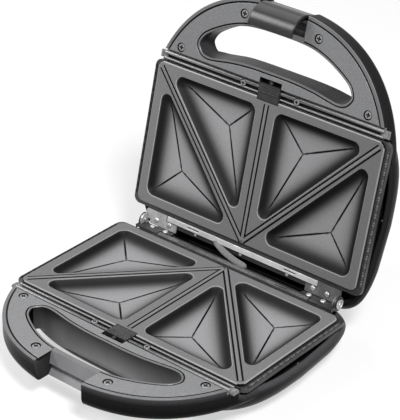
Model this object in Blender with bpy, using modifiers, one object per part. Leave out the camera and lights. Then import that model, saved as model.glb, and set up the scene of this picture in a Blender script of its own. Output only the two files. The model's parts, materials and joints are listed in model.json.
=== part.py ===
# Sandwich maker, standing open on its hinge. Metres, +Z up.
#
# Both halves are built in one half frame: the hinge axis is the X axis, the front is -Y, and the
# half lies below the plane z = 0 on which the two halves meet. The base uses that frame upright.
# The lid's frame is turned over onto it and opened about the hinge axis.

import math

import bmesh
import bpy
from mathutils import Matrix, Vector

# Driving dimensions of the whole object
OPEN_ANGLE = math.radians(103)
PLATE_WIDTH = 0.225
PLATE_LENGTH = 0.1225
PLATE_REAR = 0.014          # rear edge of the plate, in front of the hinge axis
PLATE_FACE = 0.0008         # plate face, below the meeting plane
SHELL_SIDE = 0.0083         # from the plate's side to the shell's
SHELL_BULGE = 0.0014        # how far the sides swell below the rim
MIDDLE_TO_FRONT = 0.0685    # from the shell's widest place to the plate's front
BODY_NOSE = 0.0225          # from the plate's front to the body's, in the finger opening
HANDLE_LENGTH = 0.076       # from the plate's front to the handle's
BODY_DEPTH = 0.036
HANDLE_DEPTH = 0.0215
SHELL_WALL = 0.0025
RIM_DEPTH = 0.010           # side and rear rim, below the meeting plane
GAP = 0.0003                # clearance between touching pieces
OVERRUN = 0.005             # how far a cutter runs past what it cuts
WELD = 0.000001             # points closer than this are one point

PLATE_FRONT = PLATE_REAR + PLATE_LENGTH
PLATE_SIDE = PLATE_WIDTH / 2
SHELL_HALF_WIDTH = PLATE_SIDE + SHELL_SIDE
SHELL_MIDDLE = PLATE_FRONT - MIDDLE_TO_FRONT
BODY_FRONT = PLATE_FRONT + BODY_NOSE
HANDLE_FRONT = PLATE_FRONT + HANDLE_LENGTH
REAR_WIDEST_DEPTH = BODY_DEPTH / 2      # where the rear wall reaches furthest back


# Rear wall at a depth, behind the hinge axis. The open lid's rear wall rests against the base's, so
# both lean back by half the open angle down to their widest depth, and round under from there.
def rear_reach(depth):
    if depth <= REAR_WIDEST_DEPTH:
        return depth / math.tan(OPEN_ANGLE / 2) - GAP
    share = (depth - REAR_WIDEST_DEPTH) / (BODY_DEPTH - REAR_WIDEST_DEPTH)
    return rear_reach(REAR_WIDEST_DEPTH) - REAR_ROUND * (1 - math.sqrt(max(1 - share * share, 0.0)))


REAR_ROUND = 0.020          # how far the rear wall comes in again at the underside
SHELL_REAR = rear_reach(RIM_DEPTH)
SHELL_REAR_LOW = rear_reach(REAR_WIDEST_DEPTH)

# Outline powers and sampling, plain counts
HANDLE_POWER = 2.45
BODY_POWER = 3.4
REAR_POWER = 9.0
REAR_TAPER_SHARE = 0.115    # how much narrower the shell is at its rear wall
OUTLINE_POINTS = 48

SHELL_BLACK = (0.035, 0.035, 0.037, 1.0)
COVER_GREY = (0.25, 0.25, 0.26, 1.0)
PLATE_GREY = (0.12, 0.12, 0.125, 1.0)
STEEL = (0.62, 0.62, 0.63, 1.0)
CHARCOAL = (0.06, 0.06, 0.062, 1.0)


# Scene, collections, materials

def clear_scene():
    for thing in list(bpy.data.objects):
        bpy.data.objects.remove(thing, do_unlink=True)


def new_collection(name):
    collection = bpy.data.collections.new(name)
    bpy.context.scene.collection.children.link(collection)
    return collection


def material(name, colour, roughness, metallic=0.0):
    made = bpy.data.materials.get(name)
    if made:
        return made
    made = bpy.data.materials.new(name)
    made.use_nodes = True
    shader = made.node_tree.nodes["Principled BSDF"]
    shader.inputs["Base Color"].default_value = colour
    shader.inputs["Roughness"].default_value = roughness
    shader.inputs["Metallic"].default_value = metallic
    return made


clear_scene()
parts = new_collection("sandwich_maker")
cutters = new_collection("cutters")

shell_plastic = material("shell_plastic", SHELL_BLACK, 0.35)
cover_plastic = material("cover_plastic", COVER_GREY, 0.45)
plate_coating = material("plate_coating", PLATE_GREY, 0.4)
bright_steel = material("bright_steel", STEEL, 0.3, 1.0)
pan_steel = material("pan_steel", (0.3, 0.3, 0.31, 1.0), 0.35, 1.0)
black_steel = material("black_steel", (0.03, 0.03, 0.03, 1.0), 0.5, 0.3)
catch_plastic = material("catch_plastic", CHARCOAL, 0.5)
latch_plastic = material("latch_plastic", (0.05, 0.05, 0.055, 1.0), 0.2)
rubber = material("rubber", (0.02, 0.02, 0.02, 1.0), 0.8)
heater_metal = material("heater_metal", (0.2, 0.19, 0.18, 1.0), 0.6, 1.0)
ceramic = material("ceramic", (0.8, 0.78, 0.72, 1.0), 0.6)
sleeve_grey = material("sleeve_grey", (0.4, 0.4, 0.4, 1.0), 0.7)
lens_red = material("lens_red", (0.7, 0.02, 0.02, 1.0), 0.1)
lens_green = material("lens_green", (0.02, 0.5, 0.08, 1.0), 0.1)


# Making and combining solids

def place(thing, parent, finish, is_cutter=False):
    home = cutters if is_cutter else parts
    home.objects.link(thing)
    thing.parent = parent
    if finish:
        thing.data.materials.clear()
        thing.data.materials.append(finish)
    if is_cutter:
        thing.hide_render = True
        thing.display_type = "WIRE"
    return thing


def mesh_object(name, shape):
    mesh = bpy.data.meshes.new(name)
    shape.to_mesh(mesh)
    shape.free()
    return bpy.data.objects.new(name, mesh)


def smooth(thing, degrees=35.0):
    thing.data.shade_smooth()
    thing.data.set_sharp_from_angle(angle=math.radians(degrees))
    return thing


# A closed solid through rings of equally many points, capped at both ends
def loft(name, rings, parent, finish=None, is_cutter=False, tip=None):
    shape = bmesh.new()
    rows = [[shape.verts.new(point) for point in ring] for ring in rings]
    count = len(rows[0])
    for lower, upper in zip(rows, rows[1:]):
        for i in range(count):
            j = (i + 1) % count
            shape.faces.new((lower[i], lower[j], upper[j], upper[i]))
    shape.faces.new(rows[0])
    if tip is None:
        shape.faces.new(rows[-1])
    else:
        point = shape.verts.new(tip)
        for i in range(count):
            shape.faces.new((rows[-1][i], rows[-1][(i + 1) % count], point))
    bmesh.ops.recalc_face_normals(shape, faces=shape.faces[:])
    return place(mesh_object(name, shape), parent, finish, is_cutter)


# A flat outline, with holes if it has any, as a 2D curve extruded between two heights
def prism(name, outlines, low, high, parent, finish=None, is_cutter=False):
    curve = bpy.data.curves.new(name, "CURVE")
    curve.dimensions = "2D"
    curve.fill_mode = "BOTH"
    curve.extrude = (high - low) / 2
    for outline in outlines:
        spline = curve.splines.new("POLY")
        spline.points.add(len(outline) - 1)
        for point, (x, y) in zip(spline.points, outline):
            point.co = (x, y, 0.0, 1.0)
        spline.use_cyclic_u = True
    return curve_to_mesh(name, curve, (0.0, 0.0, (low + high) / 2), parent, finish, is_cutter)


# Turns a curve into a closed mesh object, with its loose caps welded
def curve_to_mesh(name, curve, shift, parent, finish, is_cutter=False):
    source = bpy.data.objects.new(name + "_curve", curve)
    bpy.context.scene.collection.objects.link(source)
    graph = bpy.context.evaluated_depsgraph_get()
    mesh = bpy.data.meshes.new_from_object(source.evaluated_get(graph))
    bpy.data.objects.remove(source, do_unlink=True)
    shape = bmesh.new()
    shape.from_mesh(mesh)
    bmesh.ops.remove_doubles(shape, verts=shape.verts[:], dist=WELD)
    bmesh.ops.translate(shape, verts=shape.verts[:], vec=shift)
    bmesh.ops.recalc_face_normals(shape, faces=shape.faces[:])
    shape.to_mesh(mesh)
    shape.free()
    mesh.name = name
    return place(bpy.data.objects.new(name, mesh), parent, finish, is_cutter)


def box(name, low, high, parent, finish=None, is_cutter=False):
    shape = bmesh.new()
    bmesh.ops.create_cube(shape, size=1.0)
    size = Vector(high) - Vector(low)
    middle = (Vector(high) + Vector(low)) / 2
    bmesh.ops.scale(shape, verts=shape.verts[:], vec=size)
    bmesh.ops.translate(shape, verts=shape.verts[:], vec=middle)
    return place(mesh_object(name, shape), parent, finish, is_cutter)


# A round bar or disc between two heights along one axis, "X", "Y" or "Z"
def cylinder(name, radius, start, end, axis, centre, parent, finish=None, is_cutter=False, sides=24,
             end_radius=None):
    shape = bmesh.new()
    tip_radius = radius if end_radius is None else end_radius
    bmesh.ops.create_cone(shape, cap_ends=True, segments=sides, radius1=radius, radius2=tip_radius,
                          depth=end - start)
    bmesh.ops.translate(shape, verts=shape.verts[:], vec=(0.0, 0.0, (start + end) / 2))
    turn = {"X": Matrix.Rotation(math.pi / 2, 4, "Y"), "Y": Matrix.Rotation(-math.pi / 2, 4, "X"),
            "Z": Matrix.Identity(4)}[axis]
    shape.transform(Matrix.Translation(centre) @ turn)
    return smooth(place(mesh_object(name, shape), parent, finish, is_cutter))


# A tube along points, with filled caps
def tube(name, points, radius, parent, finish, resolution=2, is_cutter=False):
    curve = bpy.data.curves.new(name, "CURVE")
    curve.dimensions = "3D"
    curve.bevel_depth = radius
    curve.bevel_resolution = resolution
    curve.use_fill_caps = True
    spline = curve.splines.new("POLY")
    spline.points.add(len(points) - 1)
    for point, place_at in zip(spline.points, points):
        point.co = (*place_at, 1.0)
    return smooth(curve_to_mesh(name, curve, (0.0, 0.0, 0.0), parent, finish, is_cutter), 50.0)


def combine(target, tool, operation):
    step = target.modifiers.new(tool.name, "BOOLEAN")
    step.operation = operation
    step.object = tool
    step.solver = "EXACT"
    return target


def cut(target, *tools):
    for tool in tools:
        combine(target, tool, "DIFFERENCE")
    return target


def join(target, *tools):
    for tool in tools:
        combine(target, tool, "UNION")
    return target


# Outlines, seen from above

# Closed outline whose front and rear halves follow |x/a|^n + |y/b|^n = 1
def superellipse(half_x, front, rear, middle, front_power, rear_power, count=OUTLINE_POINTS):
    points = []
    for step in range(count):
        angle = 2 * math.pi * step / count
        side, along = math.cos(angle), math.sin(angle)
        power = rear_power if along > 0 else front_power
        reach = (rear + middle) if along > 0 else (front - middle)
        back = max(along, 0.0) ** (2 / power)
        x = half_x * math.copysign(abs(side) ** (2 / power), side) * (1 - REAR_TAPER_SHARE * back * back)
        y = -middle + reach * math.copysign(abs(along) ** (2 / power), along)
        points.append((x, y))
    return points


def body_outline(inset, rear, bulge=0.0):
    return superellipse(SHELL_HALF_WIDTH + bulge - inset, BODY_FRONT - inset, rear, SHELL_MIDDLE,
                        BODY_POWER, REAR_POWER)


def handle_outline(inset):
    return superellipse(SHELL_HALF_WIDTH - inset, HANDLE_FRONT - inset, SHELL_REAR - inset,
                        SHELL_MIDDLE, HANDLE_POWER, REAR_POWER)


# The finger opening, as shares of its half width and of its length from rear to front
OPENING_INSET = 0.038       # from the plate's side to the opening's end
OPENING_HALF_WIDTH = PLATE_SIDE - OPENING_INSET
OPENING_GRIP = 0.0235       # handle in front of the opening
OPENING_FRONT = HANDLE_FRONT - OPENING_GRIP
OPENING_BRIDGE = 0.0163     # from the plate's front to the opening
OPENING_REAR = PLATE_FRONT + OPENING_BRIDGE
OPENING_SHARES = ((0.0, 0.150), (0.28, 0.145), (0.54, 0.10), (0.74, 0.03), (0.86, 0.0), (0.945, 0.045),
                  (1.0, 0.185), (0.995, 0.30), (0.94, 0.46), (0.81, 0.64), (0.635, 0.82), (0.445, 0.945),
                  (0.25, 0.99))
OPENING_STEPS = 3


# Closed smooth curve through points, each stretch in equally many steps
def smooth_loop(points, steps):
    made = []
    count = len(points)
    for i in range(count):
        a, b, c, d = (Vector(points[(i + k) % count]) for k in (-1, 0, 1, 2))
        for step in range(steps):
            t = step / steps
            made.append(0.5 * (2 * b + (c - a) * t + (2 * a - 5 * b + 4 * c - d) * t * t
                               + (3 * b - a - 3 * c + d) * t ** 3))
    return made


def opening_outline(outset):
    length = OPENING_FRONT - OPENING_REAR
    right = [(OPENING_HALF_WIDTH * x, -OPENING_REAR - length * y) for x, y in OPENING_SHARES]
    left = [(-x, y) for x, y in reversed(right[1:])]
    front = [(0.0, -OPENING_FRONT)]
    loop = smooth_loop(right + front + left, OPENING_STEPS)
    count = len(loop)
    grown = []
    for i in range(count):
        run = (loop[(i + 1) % count] - loop[i - 1]).normalized()
        grown.append(tuple(loop[i] + Vector((-run.y, run.x)) * outset))
    return grown


def rounded_rectangle(half_x, front, rear, radius, steps=6):
    points = []
    corners = ((1, -rear, 0), (-1, -rear, 1), (-1, -front, 2), (1, -front, 3))
    for side, y, quarter in corners:
        centre_x = side * (half_x - radius)
        centre_y = y - radius if quarter < 2 else y + radius
        for step in range(steps + 1):
            angle = (quarter + step / steps) * math.pi / 2
            points.append((centre_x + radius * math.cos(angle), centre_y + radius * math.sin(angle)))
    return points


# Triangle through three corners, moved inwards by an inset and rounded at each corner
def rounded_triangle(corners, radii, inset, steps=6):
    middle = sum((Vector(corner) for corner in corners), Vector((0.0, 0.0))) / 3
    first_side = Vector(corners[1]) - Vector(corners[0])
    last_side = Vector(corners[2]) - Vector(corners[0])
    turn = 1 if first_side.cross(last_side) > 0 else -1
    ordered = list(corners) if turn > 0 else list(corners)[::-1]
    rounds = list(radii) if turn > 0 else list(radii)[::-1]
    points = []
    for i, corner in enumerate(ordered):
        corner = Vector(corner)
        before = (Vector(ordered[i - 1]) - corner).normalized()
        after = (Vector(ordered[(i + 1) % 3]) - corner).normalized()
        half_angle = before.angle(after) / 2
        inward = (before + after).normalized()
        radius = max(rounds[i] - inset, rounds[i] * POCKET_LEAST_ROUND_SHARE)
        centre = corner + inward * ((inset + radius) / math.sin(half_angle))
        start = math.atan2(-inward.y, -inward.x) - (math.pi / 2 - half_angle)
        for step in range(steps + 1):
            angle = start + 2 * (math.pi / 2 - half_angle) * step / steps
            points.append((centre.x + radius * math.cos(angle), centre.y + radius * math.sin(angle)))
    return points, middle


def at_height(outline, z):
    return [(x, y, z) for x, y in outline]


# Rings of a tub whose lower edge is rounded: full size down to the start of the round
def tub_rings(outline_at, depth, round_across, round_down, top=0.0, levels=4):
    rings = [at_height(outline_at(0.0), -top)]
    for level in range(levels + 1):
        share = level / levels
        inset = round_across * (1 - math.cos(share * math.pi / 2))
        drop = depth - round_down + round_down * math.sin(share * math.pi / 2)
        rings.append(at_height(outline_at(inset), -drop))
    return rings


# Rings of the body: the sides swell a little below the rim and then round under
def body_rings(wall, top):
    widest = BODY_DEPTH - BODY_ROUND_DOWN
    rings = [at_height(body_outline(wall, SHELL_REAR - wall), -top),
             at_height(body_outline(wall, SHELL_REAR - wall), -RIM_DEPTH)]
    for level in range(BODY_LEVELS + 1):
        angle = level / BODY_LEVELS * math.pi / 2
        inset = wall + (BODY_ROUND_ACROSS - wall) * (1 - math.cos(angle))
        drop = widest + (BODY_ROUND_DOWN - wall) * math.sin(angle)
        rings.append(at_height(body_outline(inset, rear_reach(drop) - wall, SHELL_BULGE), -drop))
    return rings


# Shell of one half: body and handle ring, hollowed, with its seats

BODY_ROUND_ACROSS = 0.024
SIDE_DEPTH = 0.0125         # where the body's sides begin to round under
BODY_ROUND_DOWN = BODY_DEPTH - SIDE_DEPTH
BODY_LEVELS = 6
HANDLE_ROUND = 0.006
HANDLE_ROUND_DOWN = 0.008
HANDLE_ROOT = 0.0165        # how far behind the plate's front the handle ring has run into the body
HANDLE_REAR = PLATE_FRONT - HANDLE_ROOT
COVER_FACE = 0.0009         # face of the handle cover, below the meeting plane
COVER_THICKNESS = 0.0025
COVER_RIM = 0.0033          # shell edge outside the cover
COVER_INNER_RIM = 0.0012    # shell edge round the finger opening
COVER_SEAT = 0.002          # ledge under the cover's edge
CHANNEL_DEPTH = 0.0105      # from the plate's front to the channel's
CHANNEL_FRONT = PLATE_FRONT + CHANNEL_DEPTH
COVER_REAR_GAP = 0.0005
COVER_REAR = CHANNEL_FRONT + COVER_REAR_GAP
DECK_FACE = 0.0055          # shell deck under the channel strip
DECK_BOTTOM = 0.008
PAN_OVERHANG = 0.0005
PAN_FRONT = PLATE_FRONT + PAN_OVERHANG
LATCH_HALF_GAP = 0.0235
LATCH_WALL = 0.002
RECESS_FACE_INSET = 0.019   # rear face of the latch recess at its top, behind the handle's front
RECESS_EDGE_INSET = 0.017   # edge that the latch's hook catches behind
RECESS_BOTTOM_INSET = 0.0155
RECESS_FACE = HANDLE_FRONT - RECESS_FACE_INSET
RECESS_EDGE = HANDLE_FRONT - RECESS_EDGE_INSET
RECESS_EDGE_DEPTH = 0.0118
RECESS_UNDERCUT = 0.0022
RECESS_UNDERCUT_DEPTH = 0.0160
RECESS_BOTTOM = HANDLE_FRONT - RECESS_BOTTOM_INSET
CATCH_HALF_WIDTH = 0.0105
CATCH_SLOT_LENGTH = 0.0045
CATCH_SLOT_FRONT = COVER_REAR + CATCH_SLOT_LENGTH
POST_RADIUS = 0.0045
POST_SIDE_INSET = 0.0425
POST_REAR_INSET = 0.016
POST_FRONT_INSET = 0.0185
POST_X = PLATE_SIDE - POST_SIDE_INSET
POST_REAR = PLATE_REAR + POST_REAR_INSET
POST_FRONT = PLATE_FRONT - POST_FRONT_INSET


# The handle cover's area, grown by a clearance and extruded between two heights
def cover_blank(name, grow, low, high, parent, finish=None, is_cutter=True):
    blank = prism(name, [handle_outline(COVER_RIM - grow)], low, high, parent, finish, is_cutter)
    wide = SHELL_HALF_WIDTH + OVERRUN
    rear = box(name + "_rear", (-wide, -COVER_REAR + grow, low - OVERRUN),
               (wide, SHELL_REAR + OVERRUN, high + OVERRUN), parent, is_cutter=True)
    gap = box(name + "_gap", (-LATCH_HALF_GAP + grow, -HANDLE_FRONT - OVERRUN, low - OVERRUN),
              (LATCH_HALF_GAP - grow, -OPENING_FRONT + COVER_RIM, high + OVERRUN), parent, is_cutter=True)
    hole = prism(name + "_hole", [opening_outline(COVER_INNER_RIM - grow)], low - OVERRUN, high + OVERRUN,
                 parent, is_cutter=True)
    slot = box(name + "_slot", (-CATCH_HALF_WIDTH - GAP, -CATCH_SLOT_FRONT, low - OVERRUN),
               (CATCH_HALF_WIDTH + GAP, -COVER_REAR + OVERRUN, high + OVERRUN), parent, is_cutter=True)
    return cut(blank, rear, gap, hole, slot)


def build_shell(prefix, frame):
    handle_rings = tub_rings(handle_outline, HANDLE_DEPTH, HANDLE_ROUND, HANDLE_ROUND_DOWN, COVER_FACE)
    shell = loft(prefix + "shell", body_rings(0.0, COVER_FACE), frame, shell_plastic)
    ring = loft(prefix + "handle_ring", handle_rings, frame, is_cutter=True)
    wide = SHELL_HALF_WIDTH + 2 * OVERRUN
    ring_rear = box(prefix + "ring_rear", (-wide, -HANDLE_REAR, -BODY_DEPTH),
                    (wide, SHELL_REAR_LOW + OVERRUN, OVERRUN), frame, is_cutter=True)
    opening = prism(prefix + "opening", [opening_outline(0.0)], -BODY_DEPTH - OVERRUN, OVERRUN, frame,
                    is_cutter=True)
    cut(ring, ring_rear)
    join(shell, ring)

    rim = box(prefix + "rim", (-wide, -PAN_FRONT - GAP, -RIM_DEPTH),
              (wide, SHELL_REAR_LOW + OVERRUN, OVERRUN), frame, is_cutter=True)
    deck = box(prefix + "deck", (-wide, -COVER_REAR, -DECK_FACE), (wide, -PAN_FRONT, OVERRUN), frame,
               is_cutter=True)
    hollow = loft(prefix + "hollow", body_rings(SHELL_WALL, DECK_BOTTOM), frame, is_cutter=True)
    wall = prism(prefix + "opening_wall", [opening_outline(SHELL_WALL)], -BODY_DEPTH - OVERRUN, OVERRUN,
                 frame, is_cutter=True)
    cut(hollow, wall)
    seat = cover_blank(prefix + "seat", GAP, -COVER_FACE - COVER_THICKNESS - GAP, OVERRUN, frame)
    hollow_depth = HANDLE_DEPTH - SHELL_WALL
    cavity = prism(prefix + "cavity", [handle_outline(COVER_RIM + COVER_SEAT)], -hollow_depth, OVERRUN,
                   frame, is_cutter=True)
    cavity_body = prism(prefix + "cavity_body", [body_outline(-SHELL_WALL, SHELL_REAR)],
                        -hollow_depth - OVERRUN, 2 * OVERRUN, frame, is_cutter=True)
    cavity_hole = prism(prefix + "cavity_hole", [opening_outline(COVER_INNER_RIM + COVER_SEAT)],
                        -hollow_depth - OVERRUN, 2 * OVERRUN, frame, is_cutter=True)
    latch_walls = LATCH_HALF_GAP + LATCH_WALL
    cavity_latch = box(prefix + "cavity_latch", (-latch_walls, -HANDLE_FRONT - OVERRUN, -BODY_DEPTH),
                       (latch_walls, -OPENING_REAR, 2 * OVERRUN), frame, is_cutter=True)
    cut(cavity, cavity_body, cavity_hole, cavity_latch)
    undercut = -RECESS_EDGE + RECESS_UNDERCUT
    recess_side = [(-RECESS_FACE, OVERRUN), (-RECESS_FACE, -COVER_FACE), (-RECESS_EDGE, -RECESS_EDGE_DEPTH),
                   (undercut, -RECESS_EDGE_DEPTH - GAP), (undercut, -RECESS_UNDERCUT_DEPTH),
                   (-RECESS_BOTTOM, -HANDLE_DEPTH), (-RECESS_BOTTOM, -BODY_DEPTH),
                   (-HANDLE_FRONT - OVERRUN, -BODY_DEPTH), (-HANDLE_FRONT - OVERRUN, OVERRUN)]
    recess = across(prefix + "recess", recess_side, LATCH_HALF_GAP, frame, is_cutter=True)
    catch_room = box(prefix + "catch_room", (-CATCH_HALF_WIDTH - GAP, -CATCH_SLOT_FRONT, -DECK_FACE),
                     (CATCH_HALF_WIDTH + GAP, -COVER_REAR + OVERRUN, OVERRUN), frame, is_cutter=True)
    cut(shell, rim, deck, hollow, seat, cavity, recess, catch_room, opening)
    pan_bottom = PAN_FLOOR + PAN_SHEET + GAP
    for side in (-1, 1):
        for row, reach in (("rear", POST_REAR), ("front", POST_FRONT)):
            post = cylinder("%spost_%s_%d" % (prefix, row, side), POST_RADIUS,
                            -(BODY_DEPTH - SHELL_WALL / 2), -pan_bottom, "Z", (side * POST_X, -reach, 0.0),
                            frame, is_cutter=True, sides=12)
            join(shell, post)
    for x, y in screw_places():
        pillar = cylinder("%spillar_%d_%d" % (prefix, round(x * 1000), round(-y * 1000)), PILLAR_RADIUS,
                          -(HANDLE_DEPTH - SHELL_WALL / 2), -(COVER_FACE + COVER_THICKNESS + 2 * GAP), "Z",
                          (x, y, 0.0), frame, is_cutter=True, sides=12)
        bore = cylinder(pillar.name + "_bore", SCREW_SHANK + GAP, -SCREW_LENGTH - OVERRUN / 2, OVERRUN, "Z",
                        (x, y, 0.0), frame, is_cutter=True, sides=12)
        join(shell, pillar)
        cut(shell, bore)
    for x, y in channel_screw_places():
        bore_name = "%schannel_bore_%d" % (prefix, round(x * 1000))
        cut(shell, cylinder(bore_name, SCREW_SHANK + GAP, -BODY_DEPTH / 2, OVERRUN, "Z", (x, y, 0.0), frame,
                            is_cutter=True, sides=12))
    return smooth(shell)


# A side profile, given as (y, z), carried across the width between -half_x and half_x
def across(name, profile, half_x, parent, finish=None, is_cutter=False):
    rings = [[(x, y, z) for y, z in profile] for x in (-half_x, half_x)]
    return loft(name, rings, parent, finish, is_cutter)


# Handle cover with its four screws

SCREW_HEAD = 0.0031
SCREW_HEAD_HEIGHT = 0.0012
SCREW_SHANK = 0.0014
SCREW_LENGTH = 0.012
SCREW_SINK = 0.0004
PILLAR_RADIUS = 0.0042
INNER_SCREW_SIDE = 0.0128    # beside the latch gap
INNER_SCREW_INSET = 0.016    # behind the handle's front
OUTER_SCREW_INSET = 0.0284   # inside the shell's side
OUTER_SCREW_STEP = 0.005     # in front of the cover's rear edge
INNER_SCREW_X = LATCH_HALF_GAP + INNER_SCREW_SIDE
INNER_SCREW_Y = HANDLE_FRONT - INNER_SCREW_INSET
OUTER_SCREW_X = SHELL_HALF_WIDTH - OUTER_SCREW_INSET
OUTER_SCREW_Y = COVER_REAR + OUTER_SCREW_STEP
CHANNEL_SCREW_X = 0.0266
CHANNEL_SCREW_HEAD = 0.0022


def screw_places():
    return [(side * x, -y) for side in (-1, 1)
            for x, y in ((INNER_SCREW_X, INNER_SCREW_Y), (OUTER_SCREW_X, OUTER_SCREW_Y))]


def channel_screw_places():
    return [(side * CHANNEL_SCREW_X, -(CHANNEL_REAR + CHANNEL_FRONT) / 2) for side in (-1, 1)]


# Cross-head screw standing along Z with its head's top at a given height
def build_screw(name, x, y, top, head, frame):
    screw = cylinder(name, head, top - SCREW_HEAD_HEIGHT, top, "Z", (x, y, 0.0), frame, bright_steel,
                     sides=16)
    shank = cylinder(name + "_shank", SCREW_SHANK, top - SCREW_LENGTH, top - SCREW_HEAD_HEIGHT / 2, "Z",
                     (x, y, 0.0), frame, is_cutter=True, sides=10)
    slot_half = head * SLOT_SHARE
    slot_wide = head * SLOT_WIDTH_SHARE
    first = box(name + "_slot_a", (x - slot_half, y - slot_wide, top - SCREW_HEAD_HEIGHT / 2),
                (x + slot_half, y + slot_wide, top + OVERRUN), frame, is_cutter=True)
    second = box(name + "_slot_b", (x - slot_wide, y - slot_half, top - SCREW_HEAD_HEIGHT / 2),
                 (x + slot_wide, y + slot_half, top + OVERRUN), frame, is_cutter=True)
    join(screw, shank)
    return cut(screw, first, second)


SLOT_SHARE = 0.62
SLOT_WIDTH_SHARE = 0.16


def build_cover(prefix, frame):
    cover = cover_blank(prefix + "handle_cover", 0.0, -COVER_FACE - COVER_THICKNESS, -COVER_FACE, frame,
                        cover_plastic, is_cutter=False)
    for index, (x, y) in enumerate(screw_places()):
        sink = cylinder("%ssink_%d" % (prefix, index), SCREW_HEAD + GAP,
                        -COVER_FACE - SCREW_SINK - SCREW_HEAD_HEIGHT - GAP, OVERRUN, "Z", (x, y, 0.0),
                        frame, is_cutter=True, sides=20)
        bore = cylinder("%ssink_bore_%d" % (prefix, index), SCREW_SHANK + GAP, -2 * OVERRUN, OVERRUN, "Z",
                        (x, y, 0.0), frame, is_cutter=True, sides=12)
        cut(cover, sink, bore)
        build_screw("%scover_screw_%d" % (prefix, index + 1), x, y, -COVER_FACE - SCREW_SINK, SCREW_HEAD,
                    frame)


# Pressed steel pan and the channel strip in front of it

PAN_SIDE = 0.0045           # flange outside the plate's side
PAN_REAR_SIDE = 0.0035      # flange behind the plate
PAN_EDGE = PLATE_SIDE + PAN_SIDE
PAN_REAR = PLATE_REAR - PAN_REAR_SIDE
PAN_SHEET = 0.0008
PAN_FLANGE = 0.0031         # flange top, below the meeting plane
PAN_LIP = 0.0034            # how far the flange's edge turns down
PAN_TRAY_REAR_INSET = 0.0045
PAN_TRAY_FRONT_INSET = 0.0035
PAN_TRAY_REAR = PLATE_REAR + PAN_TRAY_REAR_INSET
PAN_TRAY_FRONT = PLATE_FRONT - PAN_TRAY_FRONT_INSET
PAN_CORNER = 0.006
PAN_TRAY_CORNER = 0.010
PAN_DRAFT = 0.0015

CHANNEL_REAR = PAN_FRONT + GAP
CHANNEL_INSET = 0.004       # channel's end inside the plate's side
CHANNEL_HALF = PLATE_SIDE - CHANNEL_INSET
CHANNEL_SHEET = 0.0010
CHANNEL_RIDGE = 0.0014      # ridge tops, below the meeting plane
CHANNEL_RIDGE_WIDTH = 0.0020
TAB_OUT = 0.0045
TAB_WIDTH = 0.0060
TAB_DROP = 0.0012


def build_pan(prefix, frame):
    def ring(half_x, front, rear, corner, z):
        return at_height(rounded_rectangle(half_x, front, rear, corner), z)
    levels = [
        ring(PAN_EDGE, PAN_FRONT, PAN_REAR, PAN_CORNER, -PAN_FLANGE - PAN_LIP),
        ring(PAN_EDGE, PAN_FRONT, PAN_REAR, PAN_CORNER, -PAN_FLANGE),
        ring(PAN_WALL, PAN_TRAY_FRONT, PAN_TRAY_REAR, PAN_TRAY_CORNER, -PAN_FLANGE),
        ring(PAN_WALL - PAN_DRAFT, PAN_TRAY_FRONT - PAN_DRAFT, PAN_TRAY_REAR + PAN_DRAFT,
             PAN_TRAY_CORNER - PAN_DRAFT, -PAN_FLOOR),
    ]
    shape = bmesh.new()
    rows = [[shape.verts.new(point) for point in level] for level in levels]
    count = len(rows[0])
    for outer, inner in zip(rows, rows[1:]):
        for i in range(count):
            j = (i + 1) % count
            shape.faces.new((outer[i], outer[j], inner[j], inner[i]))
    shape.faces.new(rows[-1])
    pan = place(mesh_object(prefix + "pan", shape), frame, pan_steel)
    sheet = pan.modifiers.new("sheet", "SOLIDIFY")
    sheet.thickness = PAN_SHEET
    sheet.offset = -1.0
    return pan


def build_channel(prefix, frame):
    rear, front = -CHANNEL_REAR, -CHANNEL_FRONT
    top, floor = -CHANNEL_RIDGE, -(DECK_FACE - GAP - CHANNEL_SHEET)
    bottom = -(DECK_FACE - GAP)
    ridge = CHANNEL_RIDGE_WIDTH
    profile = [(rear, bottom), (rear, top), (rear - ridge, top), (rear - ridge, floor),
               (front + ridge, floor), (front + ridge, top), (front, top), (front, bottom)]
    channel = across(prefix + "channel", profile, CHANNEL_HALF, frame, bright_steel)
    tabs = [(CHANNEL_HALF - OVERRUN, CHANNEL_HALF + TAB_OUT)]
    for side in (-1, 1):
        near, far = (side * value for value in tabs[0])
        middle = (rear + front) / 2
        tab = box("%stab_%d" % (prefix, side), (min(near, far), middle - TAB_WIDTH / 2, bottom),
                  (max(near, far), middle + TAB_WIDTH / 2, bottom + CHANNEL_SHEET + TAB_DROP), frame,
                  is_cutter=True)
        join(channel, tab)
    slot = box(prefix + "channel_slot", (-CATCH_HALF_WIDTH - GAP, front - OVERRUN, bottom - OVERRUN),
               (CATCH_HALF_WIDTH + GAP, rear + OVERRUN, bottom + OVERRUN * 2), frame, is_cutter=True)
    bridge = box(prefix + "channel_bridge", (-CATCH_HALF_WIDTH - OVERRUN, front, bottom),
                 (CATCH_HALF_WIDTH + OVERRUN, rear, bottom + CHANNEL_SHEET), frame, is_cutter=True)
    cut(channel, slot)
    join(channel, bridge)
    for index, (x, y) in enumerate(channel_screw_places()):
        bore = cylinder("%schannel_hole_%d" % (prefix, index), SCREW_SHANK + GAP, bottom - OVERRUN, OVERRUN,
                        "Z", (x, y, 0.0), frame, is_cutter=True, sides=12)
        room = cylinder("%schannel_room_%d" % (prefix, index), CHANNEL_SCREW_HEAD + GAP, floor, OVERRUN,
                        "Z", (x, y, 0.0), frame, is_cutter=True, sides=16)
        cut(channel, bore, room)
        build_screw("%schannel_screw_%d" % (prefix, index + 1), x, y, floor + GAP + SCREW_HEAD_HEIGHT,
                    CHANNEL_SCREW_HEAD, frame)


# Cooking plate with four pockets

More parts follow.
